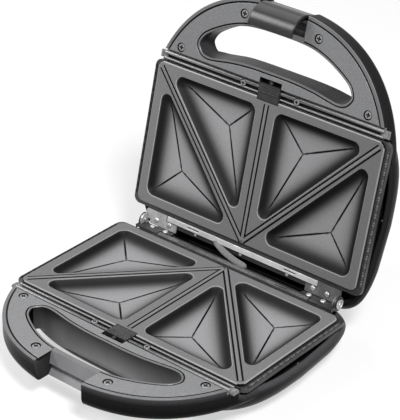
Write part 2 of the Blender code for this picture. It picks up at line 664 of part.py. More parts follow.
PLATE_EDGE = 0.0020         # thickness at the plate's edge
PLATE_CORNER = 0.006
PLATE_CASTING = 0.0022      # wall under the pockets
POCKET_SIDE = 0.0085        # pocket rim to the plate's side
POCKET_REAR = 0.0080
POCKET_FRONT = 0.0070
POCKET_CENTRE = 0.0095      # pocket rim to the middle line
POCKET_DIVIDER = 0.0045     # pocket rim to the divider's line
POCKET_DEPTH = 0.0075
POCKET_WALL = 0.0045        # depth of the steep wall under the rim
POCKET_WALL_INSET = 0.0030
POCKET_FLOOR_INSET = 0.0065
POCKET_FLOOR_DROP = 0.0012
POCKET_ROUNDS = (0.0075, 0.0060, 0.0065)
POCKET_LEAST_ROUND_SHARE = 0.25
POCKET_ABOVE_SHARE = 0.25   # how far the pocket's cutter carries its wall above the face
DIVIDER_HEIGHT = 0.0005
DIVIDER_WIDTH = 0.0030
NOTCH_DEPTH = 0.0025
HEATER_RADIUS = 0.0032
REFLECTOR_SHEET = 0.0006
HEATER_TOP = PLATE_FACE + POCKET_DEPTH + PLATE_CASTING + GAP
REFLECTOR_TOP = HEATER_TOP + 2 * HEATER_RADIUS + GAP
PAN_WALL = PLATE_WIDTH / 2 - POCKET_SIDE + PLATE_CASTING + GAP
PAN_FLOOR = REFLECTOR_TOP + REFLECTOR_SHEET + GAP


# Sharp corners (x, y) of the two pockets of one side, rear one first
def pocket_corners(side):
    slope = PLATE_LENGTH / (PLATE_WIDTH / 2)
    lean = POCKET_DIVIDER * math.sqrt(1 + slope * slope)
    outer = PLATE_WIDTH / 2 - POCKET_SIDE
    rear = PLATE_REAR + POCKET_REAR
    front = PLATE_FRONT - POCKET_FRONT
    rear_pocket = [(outer, rear), (outer, PLATE_REAR + slope * outer - lean),
                   ((rear - PLATE_REAR + lean) / slope, rear)]
    front_pocket = [(POCKET_CENTRE, front), (POCKET_CENTRE, PLATE_REAR + slope * POCKET_CENTRE + lean),
                    ((front - PLATE_REAR - lean) / slope, front)]
    return [[(side * x, -y) for x, y in corners] for corners in (rear_pocket, front_pocket)]


def build_plate(prefix, frame):
    face, edge = -PLATE_FACE, -PLATE_FACE - PLATE_EDGE
    outline = rounded_rectangle(PLATE_WIDTH / 2, PLATE_FRONT, PLATE_REAR, PLATE_CORNER)
    plate = prism(prefix + "plate", [outline], edge, face, frame, plate_coating)
    pockets = []
    for side in (-1, 1):
        for row, corners in zip(("rear", "front"), pocket_corners(side)):
            name = "%spocket_%s_%d" % (prefix, row, side)
            floor_depth = POCKET_WALL + POCKET_FLOOR_DROP
            steps = ((-POCKET_WALL_INSET * POCKET_ABOVE_SHARE, -POCKET_WALL * POCKET_ABOVE_SHARE),
                     (POCKET_WALL_INSET, POCKET_WALL), (POCKET_FLOOR_INSET, floor_depth))
            rings, middle = [], None
            for inset, depth in steps:
                outline, middle = rounded_triangle(corners, POCKET_ROUNDS, inset)
                rings.append(at_height(outline, face - depth))
            pockets.append(loft(name, rings, frame, is_cutter=True, tip=(*middle, face - POCKET_DEPTH)))
            rings = []
            for inset, depth in ((0.0, PLATE_EDGE / 2), (POCKET_WALL_INSET, POCKET_WALL + PLATE_CASTING),
                                 (POCKET_FLOOR_INSET, floor_depth + PLATE_CASTING)):
                outline, middle = rounded_triangle(corners, POCKET_ROUNDS, inset - PLATE_CASTING)
                rings.append(at_height(outline, face - depth))
            join(plate, loft(name + "_boss", rings, frame, is_cutter=True,
                             tip=(*middle, face - POCKET_DEPTH - PLATE_CASTING)))
    slope_angle = math.atan2(PLATE_LENGTH, PLATE_WIDTH / 2)
    reach = math.hypot(PLATE_LENGTH, PLATE_WIDTH / 2) - 2 * PLATE_CORNER
    for index, angle in enumerate((-slope_angle, -math.pi / 2, -math.pi + slope_angle)):
        length = PLATE_LENGTH - 2 * POCKET_FRONT if index == 1 else reach
        rib = box("%srib_%d" % (prefix, index), (PLATE_CORNER, -DIVIDER_WIDTH / 2, -PLATE_EDGE / 2),
                  (length, DIVIDER_WIDTH / 2, DIVIDER_HEIGHT), frame, is_cutter=True)
        rib.data.transform(Matrix.Translation((0.0, -PLATE_REAR, face)) @ Matrix.Rotation(angle, 4, "Z"))
        join(plate, rib)
    cut(plate, *pockets)
    notch_half = CATCH_HALF_WIDTH + GAP
    cut(plate, box(prefix + "plate_notch", (-notch_half, -PLATE_FRONT - OVERRUN, edge - OVERRUN),
                   (notch_half, -PLATE_FRONT + NOTCH_DEPTH, OVERRUN), frame, is_cutter=True))
    return smooth(plate, 25.0)


# Heating element, a bent tube between the plate and the reflector

HEATER_SIDE_INSET = 0.0525
HEATER_FRONT_INSET = 0.0265
HEATER_REAR_INSET = 0.026
HEATER_HALF = PLATE_SIDE - HEATER_SIDE_INSET
HEATER_FRONT = PLATE_FRONT - HEATER_FRONT_INSET
HEATER_REAR = PLATE_REAR + HEATER_REAR_INSET
HEATER_BEND = 0.020
HEATER_LEAD_X = 0.020
REFLECTOR_SIDE_INSET = 0.0275
REFLECTOR_FRONT_INSET = 0.0125
REFLECTOR_REAR_INSET = 0.016
REFLECTOR_HALF = PLATE_SIDE - REFLECTOR_SIDE_INSET
REFLECTOR_FRONT = PLATE_FRONT - REFLECTOR_FRONT_INSET
REFLECTOR_REAR = PLATE_REAR + REFLECTOR_REAR_INSET
REFLECTOR_CORNER = 0.010


def arc(centre, radius, start, end, steps):
    return [(centre[0] + radius * math.cos(math.radians(start + (end - start) * i / steps)),
             centre[1] + radius * math.sin(math.radians(start + (end - start) * i / steps)))
            for i in range(steps + 1)]


def build_heater(prefix, frame):
    inner_x = HEATER_HALF - HEATER_BEND
    plan = [(HEATER_LEAD_X, -PAN_TRAY_REAR - OVERRUN)]
    plan += arc((HEATER_LEAD_X + HEATER_BEND / 2, -HEATER_REAR + HEATER_BEND / 2), HEATER_BEND / 2,
                180, 270, 4)
    plan += arc((inner_x, -HEATER_REAR - HEATER_BEND), HEATER_BEND, 90, 0, 5)
    plan += arc((inner_x, -HEATER_FRONT + HEATER_BEND), HEATER_BEND, 0, -90, 5)
    plan += [(-x, y) for x, y in reversed(plan)]
    depth = -(HEATER_TOP + HEATER_RADIUS)
    tube(prefix + "heater", [(x, y, depth) for x, y in plan], HEATER_RADIUS, frame, heater_metal)
    outline = rounded_rectangle(REFLECTOR_HALF, REFLECTOR_FRONT, REFLECTOR_REAR, REFLECTOR_CORNER)
    prism(prefix + "reflector", [outline], -REFLECTOR_TOP - REFLECTOR_SHEET, -REFLECTOR_TOP, frame,
          bright_steel)


# Plate release catch in the channel, with its spring

CATCH_TOP = 0.0004
CATCH_LIP_TOP = 0.0010
CATCH_REAR = PLATE_FRONT - NOTCH_DEPTH + 2 * GAP
CATCH_LIP_THICKNESS = 0.0016
CATCH_BLOCK_START = 0.004
CATCH_BLOCK_LENGTH = 0.0073
CATCH_BLOCK_REAR = PLATE_FRONT + CATCH_BLOCK_START
CATCH_BLOCK_FRONT = CATCH_BLOCK_REAR + CATCH_BLOCK_LENGTH
CATCH_RIB = 0.0006
CATCH_RIBS = 5
SPRING_WIRE = 0.0003
SPRING_RADIUS = 0.0014
SPRING_TURNS = 4
SPRING_POINTS = 6


# Points of a coil along Y between two places, one lap per turn
def coil_points(centre_x, start_y, end_y, centre_z, radius, turns):
    total = turns * SPRING_POINTS
    return [(centre_x + radius * math.cos(2 * math.pi * i / SPRING_POINTS),
             start_y + (end_y - start_y) * i / total,
             centre_z + radius * math.sin(2 * math.pi * i / SPRING_POINTS)) for i in range(total + 1)]


def build_catch(prefix, frame):
    bridge_top = -(DECK_FACE - GAP) + CHANNEL_SHEET
    lip_low = -CATCH_LIP_TOP - CATCH_LIP_THICKNESS
    profile = [(-CATCH_REAR, lip_low), (-CATCH_REAR, -CATCH_LIP_TOP), (-CATCH_BLOCK_REAR, -CATCH_LIP_TOP),
               (-CATCH_BLOCK_REAR, -CATCH_TOP)]
    pitch = (CATCH_BLOCK_FRONT - CATCH_BLOCK_REAR) / CATCH_RIBS
    for rib in range(1, CATCH_RIBS):
        y = -CATCH_BLOCK_REAR - rib * pitch
        profile += [(y + pitch / 4, -CATCH_TOP), (y, -CATCH_TOP - CATCH_RIB), (y - pitch / 4, -CATCH_TOP)]
    profile += [(-CATCH_BLOCK_FRONT, -CATCH_TOP), (-CATCH_BLOCK_FRONT, bridge_top + GAP),
                (-CATCH_BLOCK_REAR, bridge_top + GAP), (-CATCH_BLOCK_REAR, lip_low)]
    across(prefix + "catch", profile, CATCH_HALF_WIDTH - GAP, frame, catch_plastic)
    spring_z = -CATCH_TOP - SPRING_RADIUS - SPRING_WIRE
    points = coil_points(0.0, -CATCH_BLOCK_FRONT - 2 * SPRING_WIRE, -CATCH_SLOT_FRONT + 2 * SPRING_WIRE,
                         spring_z, SPRING_RADIUS, SPRING_TURNS)
    tube(prefix + "catch_spring", points, SPRING_WIRE, frame, bright_steel, resolution=1)


# Rear beam, hinge brackets and plate holder

BEAM_INSET = 0.015          # beam's end inside the plate's side
BEAM_HALF = PLATE_SIDE - BEAM_INSET
BEAM_TOP = 0.0027
BEAM_BOTTOM = 0.0085
BEAM_REAR = 0.0015
BEAM_FRONT = PAN_REAR - GAP
BRACKET_SHEET = 0.0012
BRACKET_LENGTH = 0.0305
BRACKET_STEP_LENGTH = 0.019
BRACKET_END = BEAM_HALF - BRACKET_LENGTH
BRACKET_STEP = BEAM_HALF - BRACKET_STEP_LENGTH
BRACKET_REAR = 0.0008
BRACKET_NECK = 0.0050
EAR_RADIUS = 0.0062
EAR_OFFSET = 0.0010         # from the beam's end to the lid's ear
PIN_RADIUS = 0.0024
PIN_HEAD = 0.0044
PIN_HEAD_HEIGHT = 0.0013
RIVET_RADIUS = 0.0019
RIVET_HEIGHT = 0.0008
HOLDER_END_GAP = 0.001
HOLDER_HALF = BRACKET_STEP - HOLDER_END_GAP
HOLDER_REAR = 0.0058
HOLDER_FRONT = 0.0102
HOLDER_SLOT_INSET = 0.0215
HOLDER_SLOT_LENGTH = 0.012
HOLDER_SLOT_OUT = HOLDER_HALF - HOLDER_SLOT_INSET
HOLDER_SLOT_IN = HOLDER_SLOT_OUT - HOLDER_SLOT_LENGTH
HOLDER_SLOT_WIDTH = 0.0012


# Where each ear stands along X, counted from the middle: the lid's ears inside the base's
def ear_start(is_lid):
    inner = BEAM_HALF + EAR_OFFSET
    return inner if is_lid else inner + BRACKET_SHEET + GAP


def build_bracket(name, frame, side, is_lid):
    start = ear_start(is_lid)
    far = start + BRACKET_SHEET
    low, top = -BEAM_TOP + GAP, -BEAM_TOP + GAP + BRACKET_SHEET
    middle = start + BRACKET_SHEET / 2
    ear_room = -EAR_RADIUS - GAP
    shoulder = ear_start(True) - GAP
    outline = [(middle, ear_room), (middle, -HOLDER_FRONT), (BRACKET_STEP, -HOLDER_FRONT),
               (BRACKET_STEP, -BRACKET_NECK), (BRACKET_END, -BRACKET_NECK), (BRACKET_END, -BRACKET_REAR),
               (shoulder, -BRACKET_REAR), (shoulder, ear_room)]
    leg = prism(name, [[(side * x, y) for x, y in outline]], low, top, frame, bright_steel)
    near_x, far_x = sorted((side * start, side * far))
    ear = cylinder(name + "_ear", EAR_RADIUS, near_x, far_x, "X", (0.0, 0.0, 0.0), frame, is_cutter=True)
    stem = box(name + "_stem", (near_x, -HOLDER_FRONT + GAP, low - BRACKET_SHEET), (far_x, 0.0, top + GAP),
               frame, is_cutter=True)
    join(leg, join(ear, stem))
    bore = cylinder(name + "_bore", PIN_RADIUS + GAP / 2, near_x - OVERRUN, far_x + OVERRUN, "X",
                    (0.0, 0.0, 0.0), frame, is_cutter=True)
    cut(leg, bore)
    rivet_y = -(BRACKET_REAR + BRACKET_NECK) / 2
    for index, rivet_x in enumerate((BRACKET_END + 2 * RIVET_RADIUS, BRACKET_STEP + 3 * RIVET_RADIUS)):
        rivet = cylinder("%s_rivet_%d" % (name, index), RIVET_RADIUS, top - BRACKET_SHEET / 2,
                         top + RIVET_HEIGHT, "Z", (side * rivet_x, rivet_y, 0.0), frame, is_cutter=True,
                         sides=14, end_radius=RIVET_RADIUS / 2)
        join(leg, rivet)
    return leg


def build_pin(name, frame, side):
    inner = ear_start(True) - PIN_HEAD_HEIGHT
    outer = ear_start(False) + BRACKET_SHEET + GAP
    low, high = sorted((side * inner, side * (outer + PIN_HEAD_HEIGHT / 2)))
    pin = cylinder(name, PIN_RADIUS, low, high, "X", (0.0, 0.0, 0.0), frame, bright_steel)
    low, high = sorted((side * outer, side * (outer + PIN_HEAD_HEIGHT)))
    head = cylinder(name + "_head", PIN_HEAD, low, high, "X", (0.0, 0.0, 0.0), frame, is_cutter=True)
    return join(pin, head)


def build_rear(prefix, frame):
    box(prefix + "rear_beam", (-BEAM_HALF, -BEAM_FRONT, -BEAM_BOTTOM), (BEAM_HALF, -BEAM_REAR, -BEAM_TOP),
        frame, black_steel)
    low, high = -BEAM_TOP + GAP, -BEAM_TOP + GAP + BRACKET_SHEET
    holder = box(prefix + "plate_holder", (-HOLDER_HALF, -HOLDER_FRONT, low),
                 (HOLDER_HALF, -HOLDER_REAR, high), frame, bright_steel)
    slot_y = -(HOLDER_REAR + HOLDER_FRONT) / 2
    for side in (-1, 1):
        ends = sorted((side * HOLDER_SLOT_IN, side * HOLDER_SLOT_OUT))
        near = (ends[0], slot_y - HOLDER_SLOT_WIDTH / 2, low - OVERRUN)
        far = (ends[1], slot_y + HOLDER_SLOT_WIDTH / 2, high + OVERRUN)
        cut(holder, box("%sholder_slot_%d" % (prefix, side), near, far, frame, is_cutter=True))


def build_half(prefix, frame):
    shell = build_shell(prefix, frame)
    build_cover(prefix, frame)
    build_pan(prefix, frame)
    build_channel(prefix, frame)
    build_plate(prefix, frame)
    build_heater(prefix, frame)
    build_catch(prefix, frame)
    build_rear(prefix, frame)
    return shell


# Pieces that only the base has

FOOT_RADIUS = 0.0075
FOOT_HEIGHT = 0.0050
FOOT_SIDE_INSET = 0.0425
FOOT_REAR_INSET = 0.008
FOOT_FRONT_INSET = 0.0245
FOOT_X = PLATE_SIDE - FOOT_SIDE_INSET
FOOT_REAR = PLATE_REAR + FOOT_REAR_INSET
FOOT_FRONT = PLATE_FRONT - FOOT_FRONT_INSET
THERMOSTAT_RADIUS = 0.008
THERMOSTAT_HEIGHT = 0.006
FUSE_RADIUS = 0.002
FUSE_LENGTH = 0.012
TERMINAL_WIDTH = 0.020
TERMINAL_LENGTH = 0.014
TERMINAL_HEADROOM = 0.004   # free height between the block and the pan
TERMINAL_HEIGHT = BODY_DEPTH - SHELL_WALL - GAP - PAN_FLOOR - PAN_SHEET - TERMINAL_HEADROOM
GLAND_INSET = 0.0575        # from the plate's side edge to the gland's axis
GLAND_X = PLATE_SIDE - GLAND_INSET
GLAND_FLOOR = 0.0085        # from the gland's axis to the underside
GLAND_DEPTH = BODY_DEPTH - GLAND_FLOOR
GLAND_RADIUS = 0.0055
GLAND_FLANGE = 0.0075
GLAND_BORE = 0.0034
GLAND_FLANGE_THICKNESS = 0.0025
GLAND_LENGTH = 0.012


def build_base_only(frame, shell):
    for side, label in ((-1, "left"), (1, "right")):
        for row, reach in (("rear", FOOT_REAR), ("front", FOOT_FRONT)):
            cylinder("foot_%s_%s" % (row, label), FOOT_RADIUS, -BODY_DEPTH - GAP - FOOT_HEIGHT,
                     -BODY_DEPTH - GAP, "Z", (side * FOOT_X, -reach, 0.0), frame, rubber)
    pan_bottom = -(PAN_FLOOR + PAN_SHEET + GAP)
    middle = -(PLATE_REAR + PLATE_FRONT) / 2
    cylinder("thermostat", THERMOSTAT_RADIUS, pan_bottom - THERMOSTAT_HEIGHT, pan_bottom, "Z",
             (0.0, middle, 0.0), frame, ceramic)
    cylinder("thermal_fuse", FUSE_RADIUS, -FUSE_LENGTH / 2, FUSE_LENGTH / 2, "X",
             (3 * THERMOSTAT_RADIUS, middle, pan_bottom - FUSE_RADIUS), frame, ceramic, sides=12)
    floor = -(BODY_DEPTH - SHELL_WALL) + GAP
    box("terminal_block", (-GLAND_X - TERMINAL_WIDTH / 2, -PAN_TRAY_REAR - TERMINAL_LENGTH, floor),
        (-GLAND_X + TERMINAL_WIDTH / 2, -PAN_TRAY_REAR, floor + TERMINAL_HEIGHT), frame, ceramic)
    centre = (-GLAND_X, 0.0, -GLAND_DEPTH)
    outside = SHELL_REAR_LOW + GAP
    inside = outside - GLAND_LENGTH
    gland = cylinder("cord_gland", GLAND_RADIUS, inside, outside + GLAND_FLANGE_THICKNESS / 2, "Y", centre,
                     frame, rubber)
    flange = cylinder("gland_flange", GLAND_FLANGE, outside, outside + GLAND_FLANGE_THICKNESS,
                      "Y", centre, frame, is_cutter=True)
    bore = cylinder("gland_bore", GLAND_BORE, inside - OVERRUN, outside + 2 * OVERRUN, "Y", centre, frame,
                    is_cutter=True, sides=16)
    cut(join(gland, flange), bore)
    hole = cylinder("gland_hole", GLAND_RADIUS + GAP, inside, outside + OVERRUN, "Y", centre, frame,
                    is_cutter=True)
    room = cylinder("gland_room", GLAND_FLANGE + GAP, outside - GAP, outside + OVERRUN, "Y", centre, frame,
                    is_cutter=True)
    cut(shell, hole, room)


# Pieces that only the lid has: latch, its pin and spring, lenses and lamps

LATCH_HALF = 0.0213
LATCH_SHEET = 0.0022
LATCH_PIN_INSET = 0.008     # behind the handle's front
LATCH_PIN_Y = HANDLE_FRONT - LATCH_PIN_INSET
LATCH_PIN_Z = 0.0060        # below the meeting plane, inside the handle
LATCH_PIN_RADIUS = 0.0015
LATCH_BARREL = 0.0032
LATCH_BARREL_HALF = 0.0080
LATCH_TIP_INSET = 0.0183
LATCH_TIP_Y = HANDLE_FRONT - LATCH_TIP_INSET
LATCH_TIP_Z = 0.0148        # how far the hook stands past the meeting plane
LATCH_TAB_Z = 0.0130
LENS_RADIUS = 0.0040
LENS_X = 0.012
LENS_INSET = 0.0185         # behind the plate's front
LENS_Y = PLATE_FRONT - LENS_INSET
LENS_PROUD = 0.0012
LAMP_RADIUS = 0.0025
LAMP_LENGTH = 0.0080


# The latch's outer face, from the thumb tab over the handle's front down to the hook, as (y, z)
def latch_face():
    front = HANDLE_FRONT - COVER_RIM
    points = [(-front - LATCH_SHEET / 2, -LATCH_TAB_Z), (-front - LATCH_SHEET / 2, -LATCH_TAB_Z / 2)]
    steps = 8
    reach, rise = front - LATCH_TIP_Y, LATCH_TIP_Z + LATCH_PIN_Z / 2
    for step in range(steps + 1):
        angle = step / steps * math.pi / 2
        points.append((-LATCH_TIP_Y - reach * math.cos(angle), -LATCH_PIN_Z / 2 + rise * math.sin(angle)))
    return points


def build_latch(frame):
    axis = bpy.data.objects.new("latch_axis", None)
    parts.objects.link(axis)
    axis.parent = frame
    axis.location = (0.0, -LATCH_PIN_Y, -LATCH_PIN_Z)
    outer = [Vector((y + LATCH_PIN_Y, z + LATCH_PIN_Z)) for y, z in latch_face()]
    inner = []
    for i, point in enumerate(outer):
        before, after = outer[max(i - 1, 0)], outer[min(i + 1, len(outer) - 1)]
        run = (after - before).normalized()
        inner.append(point + Vector((run.y, -run.x)) * LATCH_SHEET)
    profile = [tuple(point) for point in outer] + [tuple(point) for point in reversed(inner)]
    latch = across("latch_clip", profile, LATCH_HALF, axis, latch_plastic)
    arm_end = inner[3].x - LATCH_SHEET / 2
    arm = [(-LATCH_BARREL / 2, -LATCH_BARREL / 2), (-LATCH_BARREL / 2, LATCH_BARREL / 2),
           (arm_end, LATCH_BARREL / 2), (arm_end, -LATCH_BARREL / 2)]
    barrel = cylinder("latch_barrel", LATCH_BARREL, -LATCH_BARREL_HALF, LATCH_BARREL_HALF, "X",
                      (0.0, 0.0, 0.0), axis, is_cutter=True)
    web = across("latch_web", arm, LATCH_BARREL_HALF, axis, is_cutter=True)
    join(latch, barrel, web)
    bore = cylinder("latch_bore", LATCH_PIN_RADIUS + GAP / 2, -LATCH_HALF, LATCH_HALF, "X",
                    (0.0, 0.0, 0.0), axis, is_cutter=True, sides=16)
    cut(latch, bore)
    smooth(latch)
    pin_half = LATCH_HALF_GAP + LATCH_WALL
    cylinder("latch_pin", LATCH_PIN_RADIUS, -pin_half, pin_half, "X", (0.0, -LATCH_PIN_Y, -LATCH_PIN_Z),
             frame, bright_steel, sides=12)
    start = LATCH_BARREL_HALF + 2 * SPRING_WIRE
    length = SPRING_TURNS * 4 * SPRING_WIRE
    radius = LATCH_PIN_RADIUS + SPRING_WIRE + GAP
    total = SPRING_TURNS * SPRING_POINTS
    points = [(start + length * i / total, -LATCH_PIN_Y + radius * math.cos(2 * math.pi * i / SPRING_POINTS),
               -LATCH_PIN_Z + radius * math.sin(2 * math.pi * i / SPRING_POINTS)) for i in range(total + 1)]
    tube("latch_spring", points, SPRING_WIRE, frame, bright_steel, resolution=1)


def build_lid_only(frame, shell):
    build_latch(frame)
    for side in (-1, 1):
        bore = cylinder("latch_pin_bore_%d" % side, LATCH_PIN_RADIUS + GAP, -LATCH_WALL - OVERRUN,
                        LATCH_WALL + OVERRUN / 2, "X", (side * LATCH_HALF_GAP, -LATCH_PIN_Y, -LATCH_PIN_Z),
                        frame, is_cutter=True, sides=12)
        cut(shell, bore)
    for side, label, finish in ((-1, "ready", lens_green), (1, "power", lens_red)):
        where = (side * LENS_X, -LENS_Y, 0.0)
        cylinder(label + "_lens", LENS_RADIUS, -BODY_DEPTH - LENS_PROUD, -BODY_DEPTH + SHELL_WALL, "Z",
                 where, frame, finish)
        hole = cylinder(label + "_lens_hole", LENS_RADIUS + GAP, -BODY_DEPTH - OVERRUN,
                        -BODY_DEPTH + SHELL_WALL + OVERRUN, "Z", where, frame, is_cutter=True)
        cut(shell, hole)
        low = -BODY_DEPTH + SHELL_WALL + GAP
        cylinder(label + "_lamp", LAMP_RADIUS, low, low + LAMP_LENGTH, "Z", where, frame, ceramic, sides=14)


# Sleeved wires from the lid to the base, past the hinge axis

SLEEVE_RADIUS = 0.0019
SLEEVE_LID_X = -0.024
SLEEVE_BASE_X = 0.009
SLEEVE_Y = HOLDER_REAR - GAP - SLEEVE_RADIUS
SLEEVE_BULGE = 0.0080
SLEEVE_STEPS = 12


def build_sleeve(base_frame, lid_turn):
    depth = BEAM_TOP - GAP
    first = lid_turn @ Vector((-SLEEVE_LID_X, -SLEEVE_Y, -depth))
    last = Vector((SLEEVE_BASE_X, -SLEEVE_Y, -depth))
    up_lid = lid_turn.to_3x3() @ Vector((0.0, 0.0, 1.0))
    up_base = Vector((0.0, 0.0, 1.0))
    start, end = first + up_lid * SLEEVE_RADIUS, last + up_base * SLEEVE_RADIUS
    leave, arrive = start + up_lid * SLEEVE_BULGE, end + up_base * SLEEVE_BULGE
    points = [tuple(first)]
    for step in range(SLEEVE_STEPS + 1):
        t = step / SLEEVE_STEPS
        point = ((1 - t) ** 3 * start + 3 * (1 - t) ** 2 * t * leave + 3 * (1 - t) * t * t * arrive
                 + t ** 3 * end)
        points.append(tuple(point))
    points.append(tuple(last))
    tube("wire_sleeve", points, SLEEVE_RADIUS, base_frame, sleeve_grey)


def build_all():
    root = bpy.data.objects.new("base_frame", None)
    lid_frame = bpy.data.objects.new("lid_frame", None)
    for empty in (root, lid_frame):
        parts.objects.link(empty)
    lid_frame.parent = root
    lid_turn = Matrix.Rotation(-OPEN_ANGLE, 4, "X") @ Matrix.Rotation(math.pi, 4, "Y")
    lid_frame.matrix_local = lid_turn
    base_shell = build_half("base_", root)
    lid_shell = build_half("lid_", lid_frame)
    for side, label in ((-1, "left"), (1, "right")):
        build_bracket("base_hinge_" + label, root, side, False)
        build_bracket("lid_hinge_" + label, lid_frame, -side, True)
        build_pin("hinge_pin_" + label, root, side)
    build_base_only(root, base_shell)
    build_lid_only(lid_frame, lid_shell)
    build_sleeve(root, lid_turn)
    return root


# Moves the whole object so that the middle of its underside is at the origin
def stand_on_origin(root):
    bpy.context.view_layer.update()
    graph = bpy.context.evaluated_depsgraph_get()
    low, high = Vector((1e9,) * 3), Vector((-1e9,) * 3)
    for thing in parts.objects:
        if thing.type != "MESH":
            continue
        solid = thing.evaluated_get(graph)
        for vertex in solid.data.vertices:
            point = solid.matrix_world @ vertex.co
            low = Vector(map(min, low, point))
            high = Vector(map(max, high, point))
    root.location = (-(low.x + high.x) / 2, -(low.y + high.y) / 2, -low.z)
    print("hinge axis at y %.5f z %.5f, size %s" % (root.location.y, root.location.z, tuple(high - low)))


stand_on_origin(build_all())
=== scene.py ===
import json
import math

import bmesh
import bpy
import numpy as np
from mathutils import Matrix, Vector


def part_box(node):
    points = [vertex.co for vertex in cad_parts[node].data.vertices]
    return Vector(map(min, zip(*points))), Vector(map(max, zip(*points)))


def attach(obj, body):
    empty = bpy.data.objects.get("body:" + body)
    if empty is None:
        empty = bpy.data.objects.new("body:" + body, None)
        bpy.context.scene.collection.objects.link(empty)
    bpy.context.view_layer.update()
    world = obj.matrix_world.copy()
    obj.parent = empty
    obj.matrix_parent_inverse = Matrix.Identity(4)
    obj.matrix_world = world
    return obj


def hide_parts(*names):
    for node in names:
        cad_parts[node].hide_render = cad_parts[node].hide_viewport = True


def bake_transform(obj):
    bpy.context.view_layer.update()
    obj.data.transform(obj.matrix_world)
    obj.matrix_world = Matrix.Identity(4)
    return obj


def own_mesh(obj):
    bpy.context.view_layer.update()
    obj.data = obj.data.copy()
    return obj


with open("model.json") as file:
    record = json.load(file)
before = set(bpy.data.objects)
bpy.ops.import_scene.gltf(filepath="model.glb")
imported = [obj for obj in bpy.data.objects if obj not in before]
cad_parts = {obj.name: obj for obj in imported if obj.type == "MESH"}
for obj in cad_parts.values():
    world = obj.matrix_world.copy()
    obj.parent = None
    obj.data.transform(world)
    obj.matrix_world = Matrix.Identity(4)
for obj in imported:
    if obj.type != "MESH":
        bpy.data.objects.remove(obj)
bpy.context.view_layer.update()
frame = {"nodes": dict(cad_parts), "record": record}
record = frame["record"]
bodyOfNode = {node: body for body, nodes in record["behaviour"]["bodies"].items() for node in nodes}
slotOfNode = {part["node"]: part["material_slot"] for part in record["subparts"]}
lidHinge = [joint for joint in record["behaviour"]["joints"] if joint["name"] == "lid_hinge"][0]
hinge = np.array(lidHinge["pos_m"])
openAngle = math.radians(-lidHinge["range_deg"][0])
mm = 0.001
halves = (("base", False), ("lid", True))
bothSides = ((-1, "Left"), (1, "Right"))
print("frame loaded with", len(frame["nodes"]), "nodes")


# Plan of one half in mm: x runs across, v forward from the hinge axis, w down from the plane where the
# halves meet. Base: y = hinge y - v, z = hinge z - w. Lid: the same plan turned up by the open angle.
def inPlace(plan, isLid=False):
    x, v, w = np.broadcast_arrays(*(np.asarray(plan[k], dtype=float) * mm for k in range(3)))
    if isLid:
        y = -v * math.cos(openAngle) + w * math.sin(openAngle)
        z = v * math.sin(openAngle) + w * math.cos(openAngle)
        return np.stack([x, hinge[1] + y, hinge[2] + z], axis=-1)
    return np.stack([x, hinge[1] - v, hinge[2] - w], axis=-1)


# The other way: directions, or places counted from the hinge, as rows x, v, w
def planFrom(points, isLid):
    x, y, z = points.T
    if isLid:
        c, s = math.cos(openAngle), math.sin(openAngle)
        return np.stack([x, -y * c + z * s, y * s + z * c])
    return np.stack([x, -y, -z])


# Every vertex's or face's three numbers of one kind, as rows
def rowsOf(items, kind):
    flat = np.empty(len(items) * 3)
    items.foreach_get(kind, flat)
    return flat.reshape(-1, 3)


# Plan coordinates (x, v, w) in mm of a piece's points
def planOf(piece, isLid):
    return planFrom(rowsOf(piece.data.vertices, "co") - hinge, isLid) / mm


def addObject(name, data):
    made = bpy.data.objects.new(name, data)
    bpy.context.scene.collection.objects.link(made)
    return made


# A closed solid from a grid of points: each row is a closed loop, each loop is joined to the next, and
# the first and the last are filled
def gridSolid(name, grid, weld=1e-6):
    rows, columns = grid.shape[:2]
    here, following = np.arange(columns), (np.arange(columns) + 1) % columns
    low = np.arange(rows - 1)[:, None] * columns
    faces = np.stack([low + here, low + following, low + columns + following, low + columns + here], axis=-1)
    ends = [list(range(columns)), list(range((rows - 1) * columns, rows * columns))]
    mesh = bpy.data.meshes.new(name)
    mesh.from_pydata(grid.reshape(-1, 3).tolist(), [], faces.reshape(-1, 4).tolist() + ends)
    shape = bmesh.new()
    shape.from_mesh(mesh)
    bmesh.ops.remove_doubles(shape, verts=shape.verts[:], dist=weld)
    bmesh.ops.recalc_face_normals(shape, faces=shape.faces[:])
    shape.to_mesh(mesh)
    shape.free()
    return addObject(name, mesh)


# Gives a piece its finish and shading, and its body unless it bends, and hides the CAD node that it stands
# for.
# A piece without a node names its body.
def settle(piece, finish, node=None, body=None, sharp=35.0, bends=False):
    mesh = piece.data
    mesh.materials.clear()
    mesh.materials.append(finishes[finish])
    mesh.shade_smooth()
    mesh.set_sharp_from_angle(angle=math.radians(sharp))
    if not bends:
        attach(piece, body or bodyOfNode[node])
    if node:
        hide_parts(node)


# A toned finish multiplies its colour by these values, one for each of the piece's points; most of them
# paint light and shade
def addTone(piece, values):
    piece.data.attributes.new("tone", "FLOAT", "POINT").data.foreach_set("value", values.astype(np.float32))


# Gives a second finish to the faces that a test on their plan centres and outward directions picks
def refinish(piece, finish, isLid, picks):
    mesh = piece.data
    mesh.materials.append(finishes[finish])
    centres = planFrom(rowsOf(mesh.polygons, "center") - hinge, isLid) / mm
    chosen = picks(*centres, *planFrom(rowsOf(mesh.polygons, "normal"), isLid))
    index = np.empty(len(mesh.polygons), dtype=np.int32)
    mesh.polygons.foreach_get("material_index", index)
    index[chosen] = len(mesh.materials) - 1
    mesh.polygons.foreach_set("material_index", index)


# Finishes

# Sets a node's inputs, each a value or another node's output to link to
def feed(tree, node, inputs):
    for name, value in inputs.items():
        if isinstance(value, bpy.types.NodeSocket):
            tree.links.new(value, node.inputs[name])
        else:
            node.inputs[name].default_value = value


